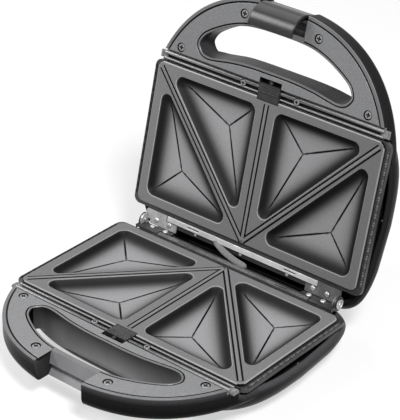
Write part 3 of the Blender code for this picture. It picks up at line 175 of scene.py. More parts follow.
def shaderNode(tree, kind, inputs, **settings):
    node = tree.nodes.new("ShaderNode" + kind)
    for name, value in settings.items():
        setattr(node, name, value)
    feed(tree, node, inputs)
    return node.outputs


def newFinish(name):
    finish = bpy.data.materials.new(name)
    finish.use_nodes = True
    return finish, finish.node_tree, finish.node_tree.nodes["Principled BSDF"]


# A noise on Object coordinates; stretch squeezes the pattern along an axis
def grainNoise(tree, scale, detail, stretch=(1.0, 1.0, 1.0)):
    place = shaderNode(tree, "TexCoord", {})["Object"]
    turned = shaderNode(tree, "Mapping", {"Vector": place, "Scale": stretch})["Vector"]
    return shaderNode(tree, "TexNoise", {"Vector": turned, "Scale": scale, "Detail": detail})["Fac"]


# Spreads the middle of a noise between two numbers
def between(tree, noise, low, high):
    return shaderNode(tree, "MapRange", {"Value": noise, "From Min": 0.35, "From Max": 0.65, "To Min": low,
                                         "To Max": high})["Result"]


# A finish with mottled colour, uneven gloss and a fine raised grain; a toned one scales its colour by the
# piece's tone, mostly painted light and shade
def grainedFinish(name, look):
    finish, tree, shader = newFinish(name)
    mottle = between(tree, grainNoise(tree, look["mottle"], 4.0), 0.0, 1.0)
    grain = grainNoise(tree, look["grain"][0], 3.0, look.get("stretch", (1.0, 1.0, 1.0)))
    colour = shaderNode(tree, "Mix", {0: mottle, 6: (*look["dark"], 1.0), 7: (*look["light"], 1.0)},
                        data_type="RGBA")[2]
    if look.get("toned"):
        tone = shaderNode(tree, "Attribute", {}, attribute_name="tone")["Fac"]
        colour = shaderNode(tree, "VectorMath", {0: colour, "Scale": tone}, operation="SCALE")[0]
    bump = shaderNode(tree, "Bump", {"Height": grain, "Strength": 0.5, "Distance": look["grain"][1]})
    feed(tree, shader, {"Base Color": colour, "Roughness": between(tree, grain, *look["rough"]),
                        "Normal": bump["Normal"], "Metallic": look.get("metal", 0.0),
                        "Specular IOR Level": look.get("specular", 0.5)})
    return finish


# Each look: colour from dark to light, scale of its mottling, scale and height in metres of the grain,
# and roughness from glossy to dull. Metal, specular, the grain's stretch and toned stand where they differ; a
# toned look's colour is scaled by the piece's tone, which mostly paints light and shade.
looks = {
    "blackShell": {"dark": (0.008, 0.008, 0.0085), "light": (0.011, 0.011, 0.0115), "mottle": 900.0,
                   "grain": (2600.0, 0.00004), "rough": (0.28, 0.36), "specular": 0.05},
    "greyCover": {"dark": (0.122, 0.123, 0.126), "light": (0.156, 0.157, 0.161), "mottle": 800.0,
                  "grain": (3200.0, 0.00003), "rough": (0.30, 0.42)},
    # A lighter grey painted on the shell's rim faces as light; the side ribs wear the same grey
    "satinRim": {"dark": (0.095, 0.095, 0.098), "light": (0.112, 0.112, 0.115), "mottle": 40.0,
                 "grain": (3200.0, 0.00003), "rough": (0.30, 0.42)},
    "nonStick": {"dark": (0.097, 0.097, 0.099), "light": (0.111, 0.111, 0.113), "mottle": 900.0,
                 "grain": (1500.0, 0.00010), "rough": (0.42, 0.58), "specular": 0.06, "toned": True},
    "darkPan": {"dark": (0.012, 0.012, 0.013), "light": (0.022, 0.022, 0.023), "mottle": 120.0,
                "grain": (1400.0, 0.00005), "rough": (0.30, 0.46)},
    "channelSteel": {"dark": (0.22, 0.22, 0.223), "light": (0.25, 0.25, 0.253), "mottle": 200.0, "metal": 0.3,
                     "grain": (900.0, 0.000005), "rough": (0.26, 0.40), "specular": 0.1, "toned": True},
    "catchPlastic": {"dark": (0.014, 0.014, 0.014), "light": (0.022, 0.022, 0.022), "mottle": 200.0,
                     "grain": (2000.0, 0.00001), "rough": (0.30, 0.42), "specular": 0.3},
    "latchGloss": {"dark": (0.012, 0.012, 0.013), "light": (0.016, 0.016, 0.017), "mottle": 50.0,
                   "grain": (900.0, 0.000001), "rough": (0.23, 0.26), "specular": 0.28},
    "cuppedScrew": {"dark": (0.20, 0.20, 0.20), "light": (0.27, 0.27, 0.27), "mottle": 500.0, "metal": 0.4,
                    "grain": (1800.0, 0.00003), "rough": (0.28, 0.42), "specular": 0.2, "toned": True},
    "brightZinc": {"dark": (0.36, 0.36, 0.365), "light": (0.50, 0.50, 0.50), "mottle": 150.0, "metal": 0.8,
                   "grain": (700.0, 0.00003), "rough": (0.28, 0.42), "stretch": (0.08, 1.0, 1.0)},
    "dullZinc": {"dark": (0.28, 0.28, 0.282), "light": (0.40, 0.40, 0.403), "mottle": 80.0, "metal": 0.4,
                 "grain": (700.0, 0.00003), "rough": (0.26, 0.42)},
    "darkWire": {"dark": (0.03, 0.03, 0.03), "light": (0.06, 0.06, 0.06), "mottle": 200.0, "metal": 0.3,
                 "grain": (1500.0, 0.00002), "rough": (0.35, 0.50), "specular": 0.2},
    "holderBar": {"dark": (0.52, 0.52, 0.525), "light": (0.66, 0.66, 0.665), "mottle": 60.0, "metal": 0.5,
                  "grain": (900.0, 0.00002), "rough": (0.28, 0.38)},
    "crimpedEdge": {"dark": (0.10, 0.10, 0.10), "light": (0.18, 0.18, 0.18), "mottle": 700.0, "metal": 0.3,
                    "grain": (900.0, 0.00006), "rough": (0.32, 0.45), "specular": 0.15, "toned": True},
    "greyStrip": {"dark": (0.060, 0.060, 0.062), "light": (0.095, 0.095, 0.097), "mottle": 80.0, "metal": 0.4,
                  "grain": (900.0, 0.00003), "rough": (0.30, 0.42)},
    "wovenSleeve": {"dark": (0.08, 0.08, 0.08), "light": (0.14, 0.14, 0.14), "mottle": 900.0,
                    "grain": (1100.0, 0.00015), "rough": (0.60, 0.80)},
    "blackBeam": {"dark": (0.008, 0.008, 0.008), "light": (0.016, 0.016, 0.016), "mottle": 200.0,
                  "grain": (1500.0, 0.00004), "rough": (0.35, 0.50)},
    "heaterTube": {"dark": (0.10, 0.085, 0.07), "light": (0.22, 0.21, 0.20), "mottle": 90.0, "metal": 0.9,
                   "grain": (1200.0, 0.00004), "rough": (0.38, 0.55)},
    "softRubber": {"dark": (0.012, 0.012, 0.012), "light": (0.022, 0.022, 0.022), "mottle": 300.0,
                   "grain": (1500.0, 0.00006), "rough": (0.60, 0.75)},
    "paleCeramic": {"dark": (0.62, 0.60, 0.54), "light": (0.72, 0.70, 0.65), "mottle": 300.0,
                    "grain": (1500.0, 0.00005), "rough": (0.45, 0.60)},
    "redLens": {"dark": (0.45, 0.010, 0.008), "light": (0.55, 0.02, 0.015), "mottle": 300.0,
                "grain": (1200.0, 0.00001), "rough": (0.08, 0.14)}}
# Toned finishes for the shells: the black takes their painted light and shade, and a lighter grey takes the
# painted light and shade of the base's opening wall
looks["softShell"] = {**looks["blackShell"], "specular": 0.03, "toned": True}
looks["openingWall"] = {**looks["satinRim"], "rough": (0.34, 0.46), "specular": 0.2, "toned": True}
# A darker copy of the dull zinc: painted shade, for the lid's right bracket
looks["shadedZinc"] = {**looks["dullZinc"], "dark": (0.08, 0.08, 0.081), "light": (0.15, 0.15, 0.152)}
looks["greenLens"] = {**looks["redLens"], "dark": (0.015, 0.30, 0.05), "light": (0.02, 0.38, 0.07)}
finishes = {name: grainedFinish(name, look) for name, look in looks.items()}
finishOfSlot = {"shell": "blackShell", "cover": "greyCover", "plate": "nonStick", "pan": "darkPan",
                "channel": "channelSteel", "catch": "catchPlastic", "latch": "latchGloss",
                "screw": "cuppedScrew", "bright_steel": "brightZinc", "black_steel": "blackBeam",
                "heater": "heaterTube", "rubber": "softRubber", "ceramic": "paleCeramic",
                "sleeve": "wovenSleeve", "lens_red": "redLens", "lens_green": "greenLens"}
for node, thing in frame["nodes"].items():
    # The latch's pin takes the dark wire finish in place of its steel's: painted shade inside the hood
    finish = "darkWire" if node == "latch_pin" else finishOfSlot[slotOfNode[node]]
    thing.data.materials.clear()
    thing.data.materials.append(finishes[finish])
print("finishes made")


# Solids from outlines in plan, which are arrays of (x, v), and what is cut from them

# A closed solid through (outline, depth) rings, carried from ring to ring
def ringSolid(name, rings, isLid=False):
    return gridSolid(name, np.stack([inPlace((o[:, 0], o[:, 1], w), isLid) for o, w in rings]))


# The same through (inset, depth) steps of one outline
def insetSolid(name, outline, steps):
    return ringSolid(name, [(outline(inset), depth) for inset, depth in steps])


def boxSolid(name, low, high, isLid=False):
    (left, rear, top), (right, front, bottom) = low, high
    outline = np.array([(left, rear), (right, rear), (right, front), (left, front)], dtype=float)
    return ringSolid(name, [(outline, top), (outline, bottom)], isLid)


# A box on one side only, between two distances from the middle; low and high are (v, w)
def sideBox(name, side, near, far, low, high, isLid):
    start, end = sorted((side * near, side * far))
    return boxSolid(name, (start, *low), (end, *high), isLid)


past = {"side": 140.0, "rear": -60.0, "front": 230.0, "top": -9.0, "bottom": 44.0}


# A cutting box about the middle, which reaches past every outline where nothing else is said
def cutBox(name, rear=past["rear"], front=past["front"], top=past["top"], bottom=past["bottom"],
           half=past["side"], isLid=False):
    return boxSolid(name, (-half, rear, top), (half, front, bottom), isLid)


# A profile in (v, w) carried straight across, as far to the left as to the right
def acrossSolid(name, profile, half, isLid=False):
    v, w = np.array(profile, dtype=float).T
    return gridSolid(name, np.stack([inPlace((x, v, w), isLid) for x in (-half, half)]))


# A round stud along w, with a radius at each depth
def studSolid(name, x, v, radii, depths, isLid=False, around=32):
    turn = 2 * math.pi * np.arange(around) / around
    rings = [(np.stack([x + r * np.cos(turn), v + r * np.sin(turn)], -1), w) for r, w in zip(radii, depths)]
    return ringSolid(name, rings, isLid)


# A profile of (x, radius) turned round a line across the object at (v, w)
def turnedSolid(name, profile, isLid, v=0.0, w=0.0, around=40):
    turn = 2 * math.pi * np.arange(around) / around
    x, r = np.array(profile, dtype=float).T[:, :, None]
    return gridSolid(name, inPlace((x, v + r * np.cos(turn), w + r * np.sin(turn)), isLid))


# Cuts or joins solids, then removes the tools
def carve(target, tools, operation="DIFFERENCE"):
    for tool in tools:
        step = target.modifiers.new(tool.name, "BOOLEAN")
        step.operation, step.object, step.solver = operation, tool, "EXACT"
    graph = bpy.context.evaluated_depsgraph_get()
    graph.update()
    made = bpy.data.meshes.new_from_object(target.evaluated_get(graph))
    target.modifiers.clear()
    old, target.data = target.data, made
    bpy.data.meshes.remove(old)
    for tool in tools:
        bpy.data.objects.remove(tool, do_unlink=True)
    return target


# Takes a piece made at its place on the base over to the same place on the lid
def ontoLid(piece):
    piece.data.vertices.foreach_set("co", inPlace(planOf(piece, False), True).ravel())
    piece.data.flip_normals()
    piece.data.update()


# Lets large flat faces keep their own shading beside small rounds
def evenShading(piece):
    piece.modifiers.new("evenShading", "WEIGHTED_NORMAL").keep_sharp = True


# A copy of a CAD node with its flat triangles joined and its edges rounded
def roundedCopy(node, finish, width, steps=2, angle=40.0):
    shape = bmesh.new()
    shape.from_mesh(frame["nodes"][node].data)
    bmesh.ops.remove_doubles(shape, verts=shape.verts[:], dist=1e-6)
    bmesh.ops.dissolve_limit(shape, angle_limit=math.radians(0.5), verts=shape.verts[:], edges=shape.edges[:])
    mesh = bpy.data.meshes.new(node + "Dressed")
    shape.to_mesh(mesh)
    shape.free()
    piece = addObject(node + "Dressed", mesh)
    settle(piece, finish, node, sharp=angle)
    bevel = piece.modifiers.new("roundedEdges", "BEVEL")
    bevel.width, bevel.segments, bevel.limit_method = width * mm, steps, "ANGLE"
    bevel.angle_limit = math.radians(angle)
    bevel.harden_normals = True
    return piece


def unit(vector):
    return vector / np.linalg.norm(vector)


# A quarter circle in even steps, as (1 - cos a, 1 - sin a)
def quarter(count):
    return [(1 - math.cos(a), 1 - math.sin(a)) for a in np.linspace(0.0, math.pi / 2, count)]


# Shells: edges are (inset, drop) steps; frontShares says, by angle in degrees, how much of the inset the
# body's front takes as it rounds under; the latch's recess is a profile in (v, w)
shell = {"halfWidth": 120.8, "bulge": 1.4, "middle": 68.0, "bodyFront": 159.0, "handleFront": 212.47,
         "bodyDepth": 36.0, "handleDepth": 21.34, "rimDepth": 10.0, "wall": 2.5, "bodyPower": 3.4,
         "handlePower": 2.45, "rearPower": 9.0, "taper": 0.115, "roundAcross": 24.0, "roundDown": 23.5,
         "handleRear": 120.0, "face": 0.9, "rimFront": 137.3, "squareRun": 3.0, "rearRound": 20.0,
         "handleRound": 6.0, "handleRoundDown": 8.0, "deckTop": 5.5, "deckBottom": 8.0, "deckEnd": 13.0,
         "latchGap": 23.5, "latchRear": 185.7, "catchHalf": 10.8, "catchRear": 140.0, "catchFront": 152.0,
         "points": 176,
         "frontShares": ((0, 40, 60, 70, 90), (0.35, 0.38, 0.46, 0.68, 1.12)),
         "bodyEdge": ((1.0, 0.0), (0.5, 0.12), (0.15, 0.45), (0.0, 0.95)),
         "blockEdge": ((0.5, 0.0), (0.12, 0.12), (0.0, 0.5)),
         "ringEdge": ((0.75, 0.0), (0.3, 0.12), (0.0, 0.6), (0.0, 6.0)),
         "recess": ((193.5, -5), (193.5, 0.9), (195.5, 11.8), (193.3, 12.1), (193.3, 16.0), (197.0, 21.5),
                    (197.0, 36), (230, 36), (230, -5))}
opening = {"halfWidth": 74.5, "rear": 152.8, "front": 189.0,
           "shares": ((0.0, 0.150), (0.28, 0.145), (0.54, 0.10), (0.74, 0.03), (0.86, 0.0), (0.945, 0.045),
                      (1.0, 0.185), (0.995, 0.30), (0.94, 0.46), (0.81, 0.64), (0.635, 0.82), (0.445, 0.945),
                      (0.25, 0.99), (0.0, 1.0))}
cover = {"face": 0.9, "thickness": 2.5, "rim": 3.3, "innerRim": 2.1, "rear": 147.8, "edgeRound": 0.35,
         "seam": 0.6, "gap": 0.3, "latchHalf": 23.2, "catchHalf": 10.8, "catchFront": 152.3, "headRoom": 3.95,
         "headDeep": 2.1, "ringWall": 2.0, "screws": ((36.3, 196.5), (92.4, 152.5))}
# Zones in plan as (half width, rear, front), and tones as (places, values), down or across. The tones are
# painted light and shade, save the underside's, which only makes the underside and back lighter
openingZone, recessZone = (77, 150, 191), (23.5, 193, 198)
shellTones = {"baseSide": ((0.0, 0.6, 6.0, 13.0), (6.0, 6.0, 1.1, 0.5)),
              "lidSide": ((0.0, 0.6, 6.0, 13.0), (1.5, 1.3, 0.8, 0.8)),
              "underside": ((16.0, 30.0), (0.0, 4.0)),
              "wallDown": ((1.0, 20.0, 34.0), (0.12, 1.9, 2.1)),
              "wallAcross": ((-75, -60, -20, 40, 75), (0.15, 0.6, 1.0, 1.0, 0.6)),
              "lidWallAcross": ((-75, 75), (3.0, 0.4)), "recess": 1.9}


# Closed outline whose front and rear halves each follow |x/a|^n + |v/b|^n = 1; the rear one tapers
def superOutline(halfX, front, rear, frontPower):
    angle = 2 * math.pi * np.arange(shell["points"]) / shell["points"]
    side, along = np.cos(angle), np.sin(angle)
    power = np.where(along > 0, shell["rearPower"], frontPower)
    reach = np.where(along > 0, shell["middle"] - rear, front - shell["middle"])
    back = np.maximum(along, 0.0) ** (2 / power)
    x = halfX * np.sign(side) * np.abs(side) ** (2 / power) * (1 - shell["taper"] * back * back)
    v = shell["middle"] - reach * np.sign(along) * np.abs(along) ** (2 / power)
    return np.stack([x, v], axis=-1)


# How far behind the hinge axis the rear wall stands at a depth, so that the open lid rests on the base
def rearAt(depth):
    return -(depth / math.tan(openAngle / 2) - 0.3)


rimRear = rearAt(shell["rimDepth"])


def bodyOutline(inset, rear=rimRear, bulge=0.0, frontInset=None):
    front = shell["bodyFront"] - (inset if frontInset is None else frontInset)
    return superOutline(shell["halfWidth"] + bulge - inset, front, rear, shell["bodyPower"])


def handleOutline(inset):
    return superOutline(shell["halfWidth"] - inset, shell["handleFront"] - inset, rimRear + inset,
                        shell["handlePower"])


# The finger opening: a closed smooth curve through its shares, moved outwards by an outset
def openingOutline(outset, steps=7):
    right = np.array(opening["shares"])
    loop = np.concatenate([right, right[-2:0:-1] * (-1, 1)])
    knots = loop * (opening["halfWidth"], opening["front"] - opening["rear"]) + (0.0, opening["rear"])
    s = (np.arange(steps) / steps)[None, :, None]
    p, q, r, u = (np.roll(knots, k, axis=0)[:, None, :] for k in (1, 0, -1, -2))
    curve = 0.5 * (2 * q + (r - p) * s + (2 * p - 5 * q + 4 * r - u) * s ** 2
                   + (3 * q - p - 3 * r + u) * s ** 3)
    curve = curve.reshape(-1, 2)
    run = np.roll(curve, -1, axis=0) - np.roll(curve, 1, axis=0)
    run /= np.linalg.norm(run, axis=1)[:, None]
    return curve + np.stack([run[:, 1], -run[:, 0]], axis=-1) * outset


# Rear wall's place at a depth, rounding under below the widest depth along a quarter ellipse
def rearUnder(depth):
    widest = shell["bodyDepth"] / 2
    share = np.clip((depth - widest) / widest, 0.0, 1.0)
    return rearAt(min(depth, widest)) + shell["rearRound"] * (1 - math.sqrt(1 - share * share))


# Rings of the body from the rim down: the sides follow a quarter ellipse to the underside
def bodyRings(wall, levels=16):
    widest = shell["bodyDepth"] - shell["roundDown"]
    rings = []
    for angle in np.linspace(0.0, math.pi / 2, levels):
        inset = wall + (shell["roundAcross"] - wall) * (1 - math.cos(angle))
        depth = widest + (shell["roundDown"] - wall) * math.sin(angle)
        frontInset = wall + (inset - wall) * np.interp(math.degrees(angle), *shell["frontShares"])
        rings.append((bodyOutline(inset, rearUnder(depth) + wall, shell["bulge"], frontInset), depth))
    return rings


# Body below the rim; its top edge is rounded where the rim is open and square where the front block stands
def lowerBody(name):
    square = bodyOutline(0.0)
    rimShare = np.clip((shell["rimFront"] - square[:, 1:]) / shell["squareRun"] + 1.0, 0.0, 1.0)
    rings = []
    for inset, drop in shell["bodyEdge"]:
        rounded = bodyOutline(inset, rimRear + inset)
        rings.append((square + (rounded - square) * rimShare, shell["rimDepth"] + drop))
    return ringSolid(name, rings + bodyRings(0.0))


# The front block and the handle ring, which stand up to the covers
def frontSolids(prefix):
    face, rim = shell["face"], shell["rimDepth"]
    steps = [(inset, face + drop) for inset, drop in shell["blockEdge"]] + [(0.0, rim), (0.03, rim + 0.6)]
    block = insetSolid(prefix + "FrontBlock", bodyOutline, steps)
    carve(block, [cutBox(prefix + "BehindBlock", front=shell["rimFront"])])
    steps = [(inset, face + drop) for inset, drop in shell["ringEdge"]]
    low, down = shell["handleDepth"], shell["handleRoundDown"]
    steps += [(shell["handleRound"] * c, low - down * s) for c, s in quarter(8)]
    ring = insetSolid(prefix + "HandleRing", handleOutline, steps)
    carve(ring, [cutBox(prefix + "BehindRing", front=shell["handleRear"]),
                 cutBox(prefix + "AboveRim", front=shell["rimFront"], bottom=rim)])
    return [block, ring]


# The room inside the housing, under the rim and under the deck, round the finger opening's wall
def housingRoom(prefix):
    wall, rim = shell["wall"], shell["rimDepth"]
    rings = [(bodyOutline(2.1, rimRear + 2.1), rim - 0.05), (bodyOutline(wall, rimRear + wall), rim + 0.4)]
    hollow = ringSolid(prefix + "Hollow", rings + bodyRings(wall))
    carve(hollow, [cutBox(prefix + "HollowFront", rear=shell["rimFront"], bottom=rim + 0.4)])
    inner = bodyOutline(wall, rimRear + wall)
    deep = ringSolid(prefix + "HollowDeep", [(inner, shell["deckBottom"]), (inner, shell["deckEnd"])])
    carve(hollow, [deep], "UNION")
    return carve(hollow, [insetSolid(prefix + "OpeningWall", openingOutline, ((wall, -6), (wall, 44)))])


# The step in which a handle cover lies, with softened edges outside it and at the finger opening
def coverSeat(prefix):
    face, gap = cover["face"], cover["gap"]
    low, edge = face + cover["thickness"] + gap, cover["rim"] - cover["seam"]
    lip, lipTop = cover["innerRim"] - 0.45, cover["innerRim"] - 0.75
    seat = insetSolid(prefix + "Seat", handleOutline, ((edge, low), (edge, face + 0.3),
                                                       (edge - 0.4, face - 0.3), (edge - 0.4, -6)))
    hole = ((lip, low + 4), (lip, face + 0.25), (lipTop, face - 0.1), (lipTop, past["top"]))
    return carve(seat, [insetSolid(prefix + "SeatHole", openingOutline, hole),
                        cutBox(prefix + "SeatRear", front=cover["rear"] - gap),
                        cutBox(prefix + "SeatLatch", rear=shell["latchRear"], half=shell["latchGap"])])


# The room inside the handle ring, beside the body, the finger opening and the latch
def ringRoom(prefix):
    low, top, edge = shell["handleDepth"] - shell["wall"], past["top"], cover["rim"] + cover["ringWall"]
    inner = cover["innerRim"] + cover["ringWall"]
    cavity = insetSolid(prefix + "Cavity", handleOutline, ((edge, low), (edge, -6)))
    return carve(cavity, [insetSolid(prefix + "CavityBody", bodyOutline,
                                     ((-shell["wall"], low + 5), (-shell["wall"], top))),
                          insetSolid(prefix + "CavityHole", openingOutline, ((inner, low + 5), (inner, top))),
                          cutBox(prefix + "CavityLatch", rear=opening["rear"], half=shell["latchGap"] + 2.0)])


def inZone(x, v, zone, slack=0.0):
    half, rear, front = zone
    return (np.abs(x) < half + slack) & (v > rear) & (v < front)


# Tone of a shell's points, painted light and shade: the sides fade from a painted highlight along the top
# edge to black and are lighter on the underside and back; the base's opening wall rises from painted shade
# under its edge to painted light at its foot and is painted lighter in the middle, its recess is painted
# light, and the lid's opening wall fades from painted light at the left to the right
def shellTone(piece, isLid):
    x, v, w = planOf(piece, isLid)
    below = w - np.where(v > shell["rimFront"], shell["face"], shell["rimDepth"])
    side = np.interp(below, *shellTones["lidSide" if isLid else "baseSide"])
    side = side + np.interp(w, *shellTones["underside"])
    inOpening = inZone(x, v, openingZone)
    if isLid:
        return np.where(inOpening, np.interp(x, *shellTones["lidWallAcross"]), side)
    wall = np.interp(w, *shellTones["wallDown"]) * np.interp(x, *shellTones["wallAcross"])
    side = np.where(inZone(x, v, recessZone, 0.1) & (w < 22), shellTones["recess"], side)
    return np.where(inOpening, wall, side)


# Faces of the opening's wall and of the recess that look forward, to be seen in the base; they take a lighter
# grey that carries the painted light and shade there
def seenWall(x, v, w, nx, nv, nw):
    wall = inZone(x, v, openingZone) & (w > 1.2) & (w < 34) & (np.abs(nw) < 0.3) & (nv > 0.2)
    return wall | (inZone(x, v, recessZone, -0.1) & (w < 20.5) & (nv > 0.5))


def buildShell(prefix, isLid):
    face = shell["face"]
    body = lowerBody(prefix + "Housing")
    carve(body, frontSolids(prefix), "UNION")
    deck = cutBox(prefix + "Deck", rear=shell["rimFront"] - 0.05, front=cover["rear"] - cover["gap"],
                  bottom=shell["deckTop"])
    catchRoom = cutBox(prefix + "CatchRoom", rear=shell["catchRear"], front=shell["catchFront"],
                       bottom=shell["deckTop"], half=shell["catchHalf"])
    hole = ((0.0, past["bottom"]), (0.0, face + 0.5), (0.45, face - 0.1), (0.45, past["top"]))
    carve(body, [deck, housingRoom(prefix), coverSeat(prefix), ringRoom(prefix),
                 acrossSolid(prefix + "Recess", shell["recess"], shell["latchGap"]), catchRoom,
                 insetSolid(prefix + "Opening", openingOutline, hole)])
    if isLid:
        ontoLid(body)
    addTone(body, shellTone(body, isLid))
    settle(body, "softShell", prefix + "_shell", sharp=32.0)
    # Rim faces round the covers that face the other half get a lighter grey, painted light
    refinish(body, "satinRim", isLid, lambda x, v, w, nx, nv, nw: (w < 1.5) & (v > 140) & (nw < -0.3))
    if not isLid:
        # The base's opening wall and recess get the lighter grey, painted light and shade
        refinish(body, "openingWall", isLid, seenWall)
    evenShading(body)


for prefix, isLid in halves:
    buildShell(prefix, isLid)
print("shells made")

# Cooking plates: the mouth's steps are (inset, depth below the face), and tones are (places, values) of
# painted light and shade
plate = {"halfWidth": 112.5, "rear": 14.0, "front": 136.5, "corner": 6.0, "face": 0.8, "edge": 2.0,
         "edgeRound": 1.1, "casting": 2.2, "notchHalf": 10.8, "notchDepth": 2.5,
         "pocketSide": 8.5, "pocketRear": 8.0, "pocketFront": 7.0, "pocketCentre": 9.5, "pocketDivider": 4.5,
         "pocketRounds": (7.5, 6.0, 6.5), "mouth": ((-0.75, -0.35), (-0.35, 0.08)), "wallDepth": 5.4,
         "wallRun": 11.0, "wallBend": 2.4, "floorSlope": 0.081, "cutLower": 0.18, "floorRise": 0.12,
         "insets": (0.0, 0.3, 0.7, 1.2, 1.8, 2.5, 3.3, 4.2, 5.2, 6.4, 7.8, 9.2), "innermost": 1.5,
         "creaseDepth": 0.8, "creaseWidth": 1.5, "creaseStart": 10.5, "creaseFade": 1.5, "creaseTone": 0.02,
         "creaseRoom": 5.0, "creaseReach": (2.2, 0.35),
         "ribHalf": 1.25, "ribHeight": 0.4, "ribRear": 1.5, "ribSide": 4.2, "ribFront": 1.8, "ribTone": 1.45,
         "grooveHalf": 2.7, "grooveDepth": 1.6, "grooveTone": 0.04,
         # Tones by depth below the face, painted light and shade: a painted highlight at the pockets' and the
         # plate's edges, painted shade on the walls and under the edge, painted light on the floors; the
         # lid's plate is painted lighter at the left
         "pocketTones": (
             (0.0, 0.04, 0.08, 0.20, 0.55, 1.03, 1.9, 3.3, 4.42, 5.25, 5.99, 6.37, 6.55, 6.8, 7.2),
             (1.25, 1.25, 2.4, 2.4, 0.36, 0.10, 0.07, 0.07, 0.13, 0.30, 0.72, 1.2, 1.6, 1.9, 2.1)),
         "edgeTones": ((0.05, 0.1, 0.6, 1.0, 1.2), (1.25, 2.7, 2.7, 0.4, 0.05)),
         "lidAcross": ((-110, 0, 110), (1.22, 1.03, 0.86))}
slope = (plate["front"] - plate["rear"]) / plate["halfWidth"]   # of the ribs that run to the front corners


# The plate's outline: a rectangle with quarter-circle corners
def plateOutline(inset, steps=8):
    halfX, r = plate["halfWidth"] - inset, max(plate["corner"] - inset, 0.05)
    turn = np.linspace(0.0, math.pi / 2, steps + 1)
    parts = []
    for k, (sx, sv) in enumerate(((1, 1), (-1, 1), (-1, -1), (1, -1))):
        v = plate["front"] - inset - r if sv > 0 else plate["rear"] + inset + r
        angle = turn + k * math.pi / 2
        parts.append(np.array([sx * (halfX - r), v]) + r * np.stack([np.cos(angle), np.sin(angle)], -1))
    return np.concatenate(parts)


# The two pockets of one side as sharp triangles, rear one first
def pocketCorners():
    lean = plate["pocketDivider"] * math.hypot(1, slope)
    outer, centre = plate["halfWidth"] - plate["pocketSide"], plate["pocketCentre"]
    rear, front = plate["rear"] + plate["pocketRear"], plate["front"] - plate["pocketFront"]
    return [[(outer, rear), (outer, plate["rear"] + slope * outer - lean),
             ((rear - plate["rear"] + lean) / slope, rear)],
            [(centre, front), (centre, plate["rear"] + slope * centre + lean),
             ((front - plate["rear"] - lean) / slope, front)]]


# A triangle's sides, each from its corner to the next, and the radius of the circle inside it
def triangleSizes(corners):
    lengths = [math.dist(corners[k], corners[(k + 1) % 3]) for k in range(3)]
    (ax, ay), (bx, by), (cx, cy) = corners
    return lengths, abs((bx - ax) * (cy - ay) - (cx - ax) * (by - ay)) / sum(lengths)


# Where a triangle's three creases meet: its corners weighed by the sides that face them
def pocketMiddle(corners):
    lengths = triangleSizes(corners)[0]
    return (np.array(corners) * [[lengths[1]], [lengths[2]], [lengths[0]]]).sum(axis=0) / sum(lengths)


# Depth of a pocket below the face at an inset i: w = d (1 - (1 - i/run)^n) + slope i
def pocketDepth(inset):
    share = np.clip(inset / plate["wallRun"], 0.0, 1.0)
    return plate["wallDepth"] * (1 - (1 - share) ** plate["wallBend"]) + plate["floorSlope"] * inset


# Rounded triangle at an inset, and which of its points lie on a crease. Every corner has an arc, whose
# middle point and its two close neighbours hold the pressed crease; the arc's radius shrinks to nothing
# where the crease starts.
def pocketRing(corners, inset, arcSteps=6):
    corners, rounds = [np.array(c, dtype=float) for c in corners], plate["pocketRounds"]
    if np.cross(corners[1] - corners[0], corners[2] - corners[0]) < 0:
        corners, rounds = corners[::-1], rounds[::-1]
    room = min(1.0, (triangleSizes(corners)[1] - inset) / plate["creaseRoom"])
    ring = []
    for k, corner in enumerate(corners):
        before, after = unit(corners[k - 1] - corner), unit(corners[(k + 1) % 3] - corner)
        half = math.acos(np.clip(before @ after, -1, 1)) / 2
        inward = unit(before + after)
        radius = max(rounds[k] * (1 - max(inset, 0.0) / plate["creaseStart"]) - min(inset, 0.0), 0.02)
        centre = corner + inward * ((inset + radius) / math.sin(half))
        span = math.pi / 2 - half
        turn = math.atan2(-inward[1], -inward[0]) + np.concatenate([
            np.linspace(-span, -span / arcSteps / 2, arcSteps), [0.0],
            np.linspace(span / arcSteps / 2, span, arcSteps)])
        arc = centre + radius * np.stack([np.cos(turn), np.sin(turn)], -1)
        if inset >= plate["creaseStart"]:
            tip = arc[arcSteps]
            reach = np.linspace(*plate["creaseReach"], arcSteps)[:, None]
            reach = reach * plate["creaseWidth"] * room / math.sin(half)
            arc = np.concatenate([tip + before * reach, [tip], tip + after * reach[::-1]])
        ring.append(arc)
    return np.concatenate(ring), np.tile(np.arange(2 * arcSteps + 1) == arcSteps, 3)


# A pocket's cutter, or with thicken the boss that holds the pocket from below, which has no creases
def pocketSolid(name, corners, side, thicken=0.0):
    innermost = triangleSizes(corners)[1] - plate["innermost"]
    insets = np.concatenate([plate["insets"], np.linspace(plate["creaseStart"], innermost, 8)])
    stack = []
    for inset, depth in ((-thicken, 1.0),) if thicken else plate["mouth"]:
        outline = pocketRing(corners, inset)[0]
        stack.append(np.column_stack([outline, np.full(len(outline), plate["face"] + depth)]))
    for inset in insets:
        outline, onCrease = pocketRing(corners, inset - thicken)
        depth = plate["face"] + pocketDepth(inset) + (thicken or plate["cutLower"])
        fade = np.clip((inset - plate["creaseStart"] + 0.02) / plate["creaseFade"], 0.0, 1.0)
        crease = onCrease * plate["creaseDepth"] * fade * (not thicken)
        stack.append(np.column_stack([outline, depth + crease]))
    stack = np.stack(stack)
    tip = [*pocketMiddle(corners), stack[-1, :, 2].min() + plate["floorRise"]]
    x, v, w = np.moveaxis(np.concatenate([stack, np.broadcast_to(tip, (1,) + stack.shape[1:])]), 2, 0)
    return gridSolid(name, inPlace((side * x, v, w)))


# Where the three ribs run, as (from, to) in plan
def ribLines():
    start = (0.0, plate["rear"] + plate["ribRear"])
    end = plate["halfWidth"] - plate["ribSide"]
    far = plate["rear"] + slope * end
    return [(start, (0.0, plate["front"] - plate["notchDepth"] - plate["ribFront"])), (start, (end, far)),
            (start, (-end, far))]


# A straight bar between two plan points: cross-section in (offset, w)
def ribSolid(name, line, section, isLid=False):
    along = unit(np.subtract(line[1], line[0]))
    offset, w = np.array(section, dtype=float).T
    ends = [inPlace((x - offset * along[1], v + offset * along[0], w), isLid) for x, v in line]
    return gridSolid(name, np.stack(ends))
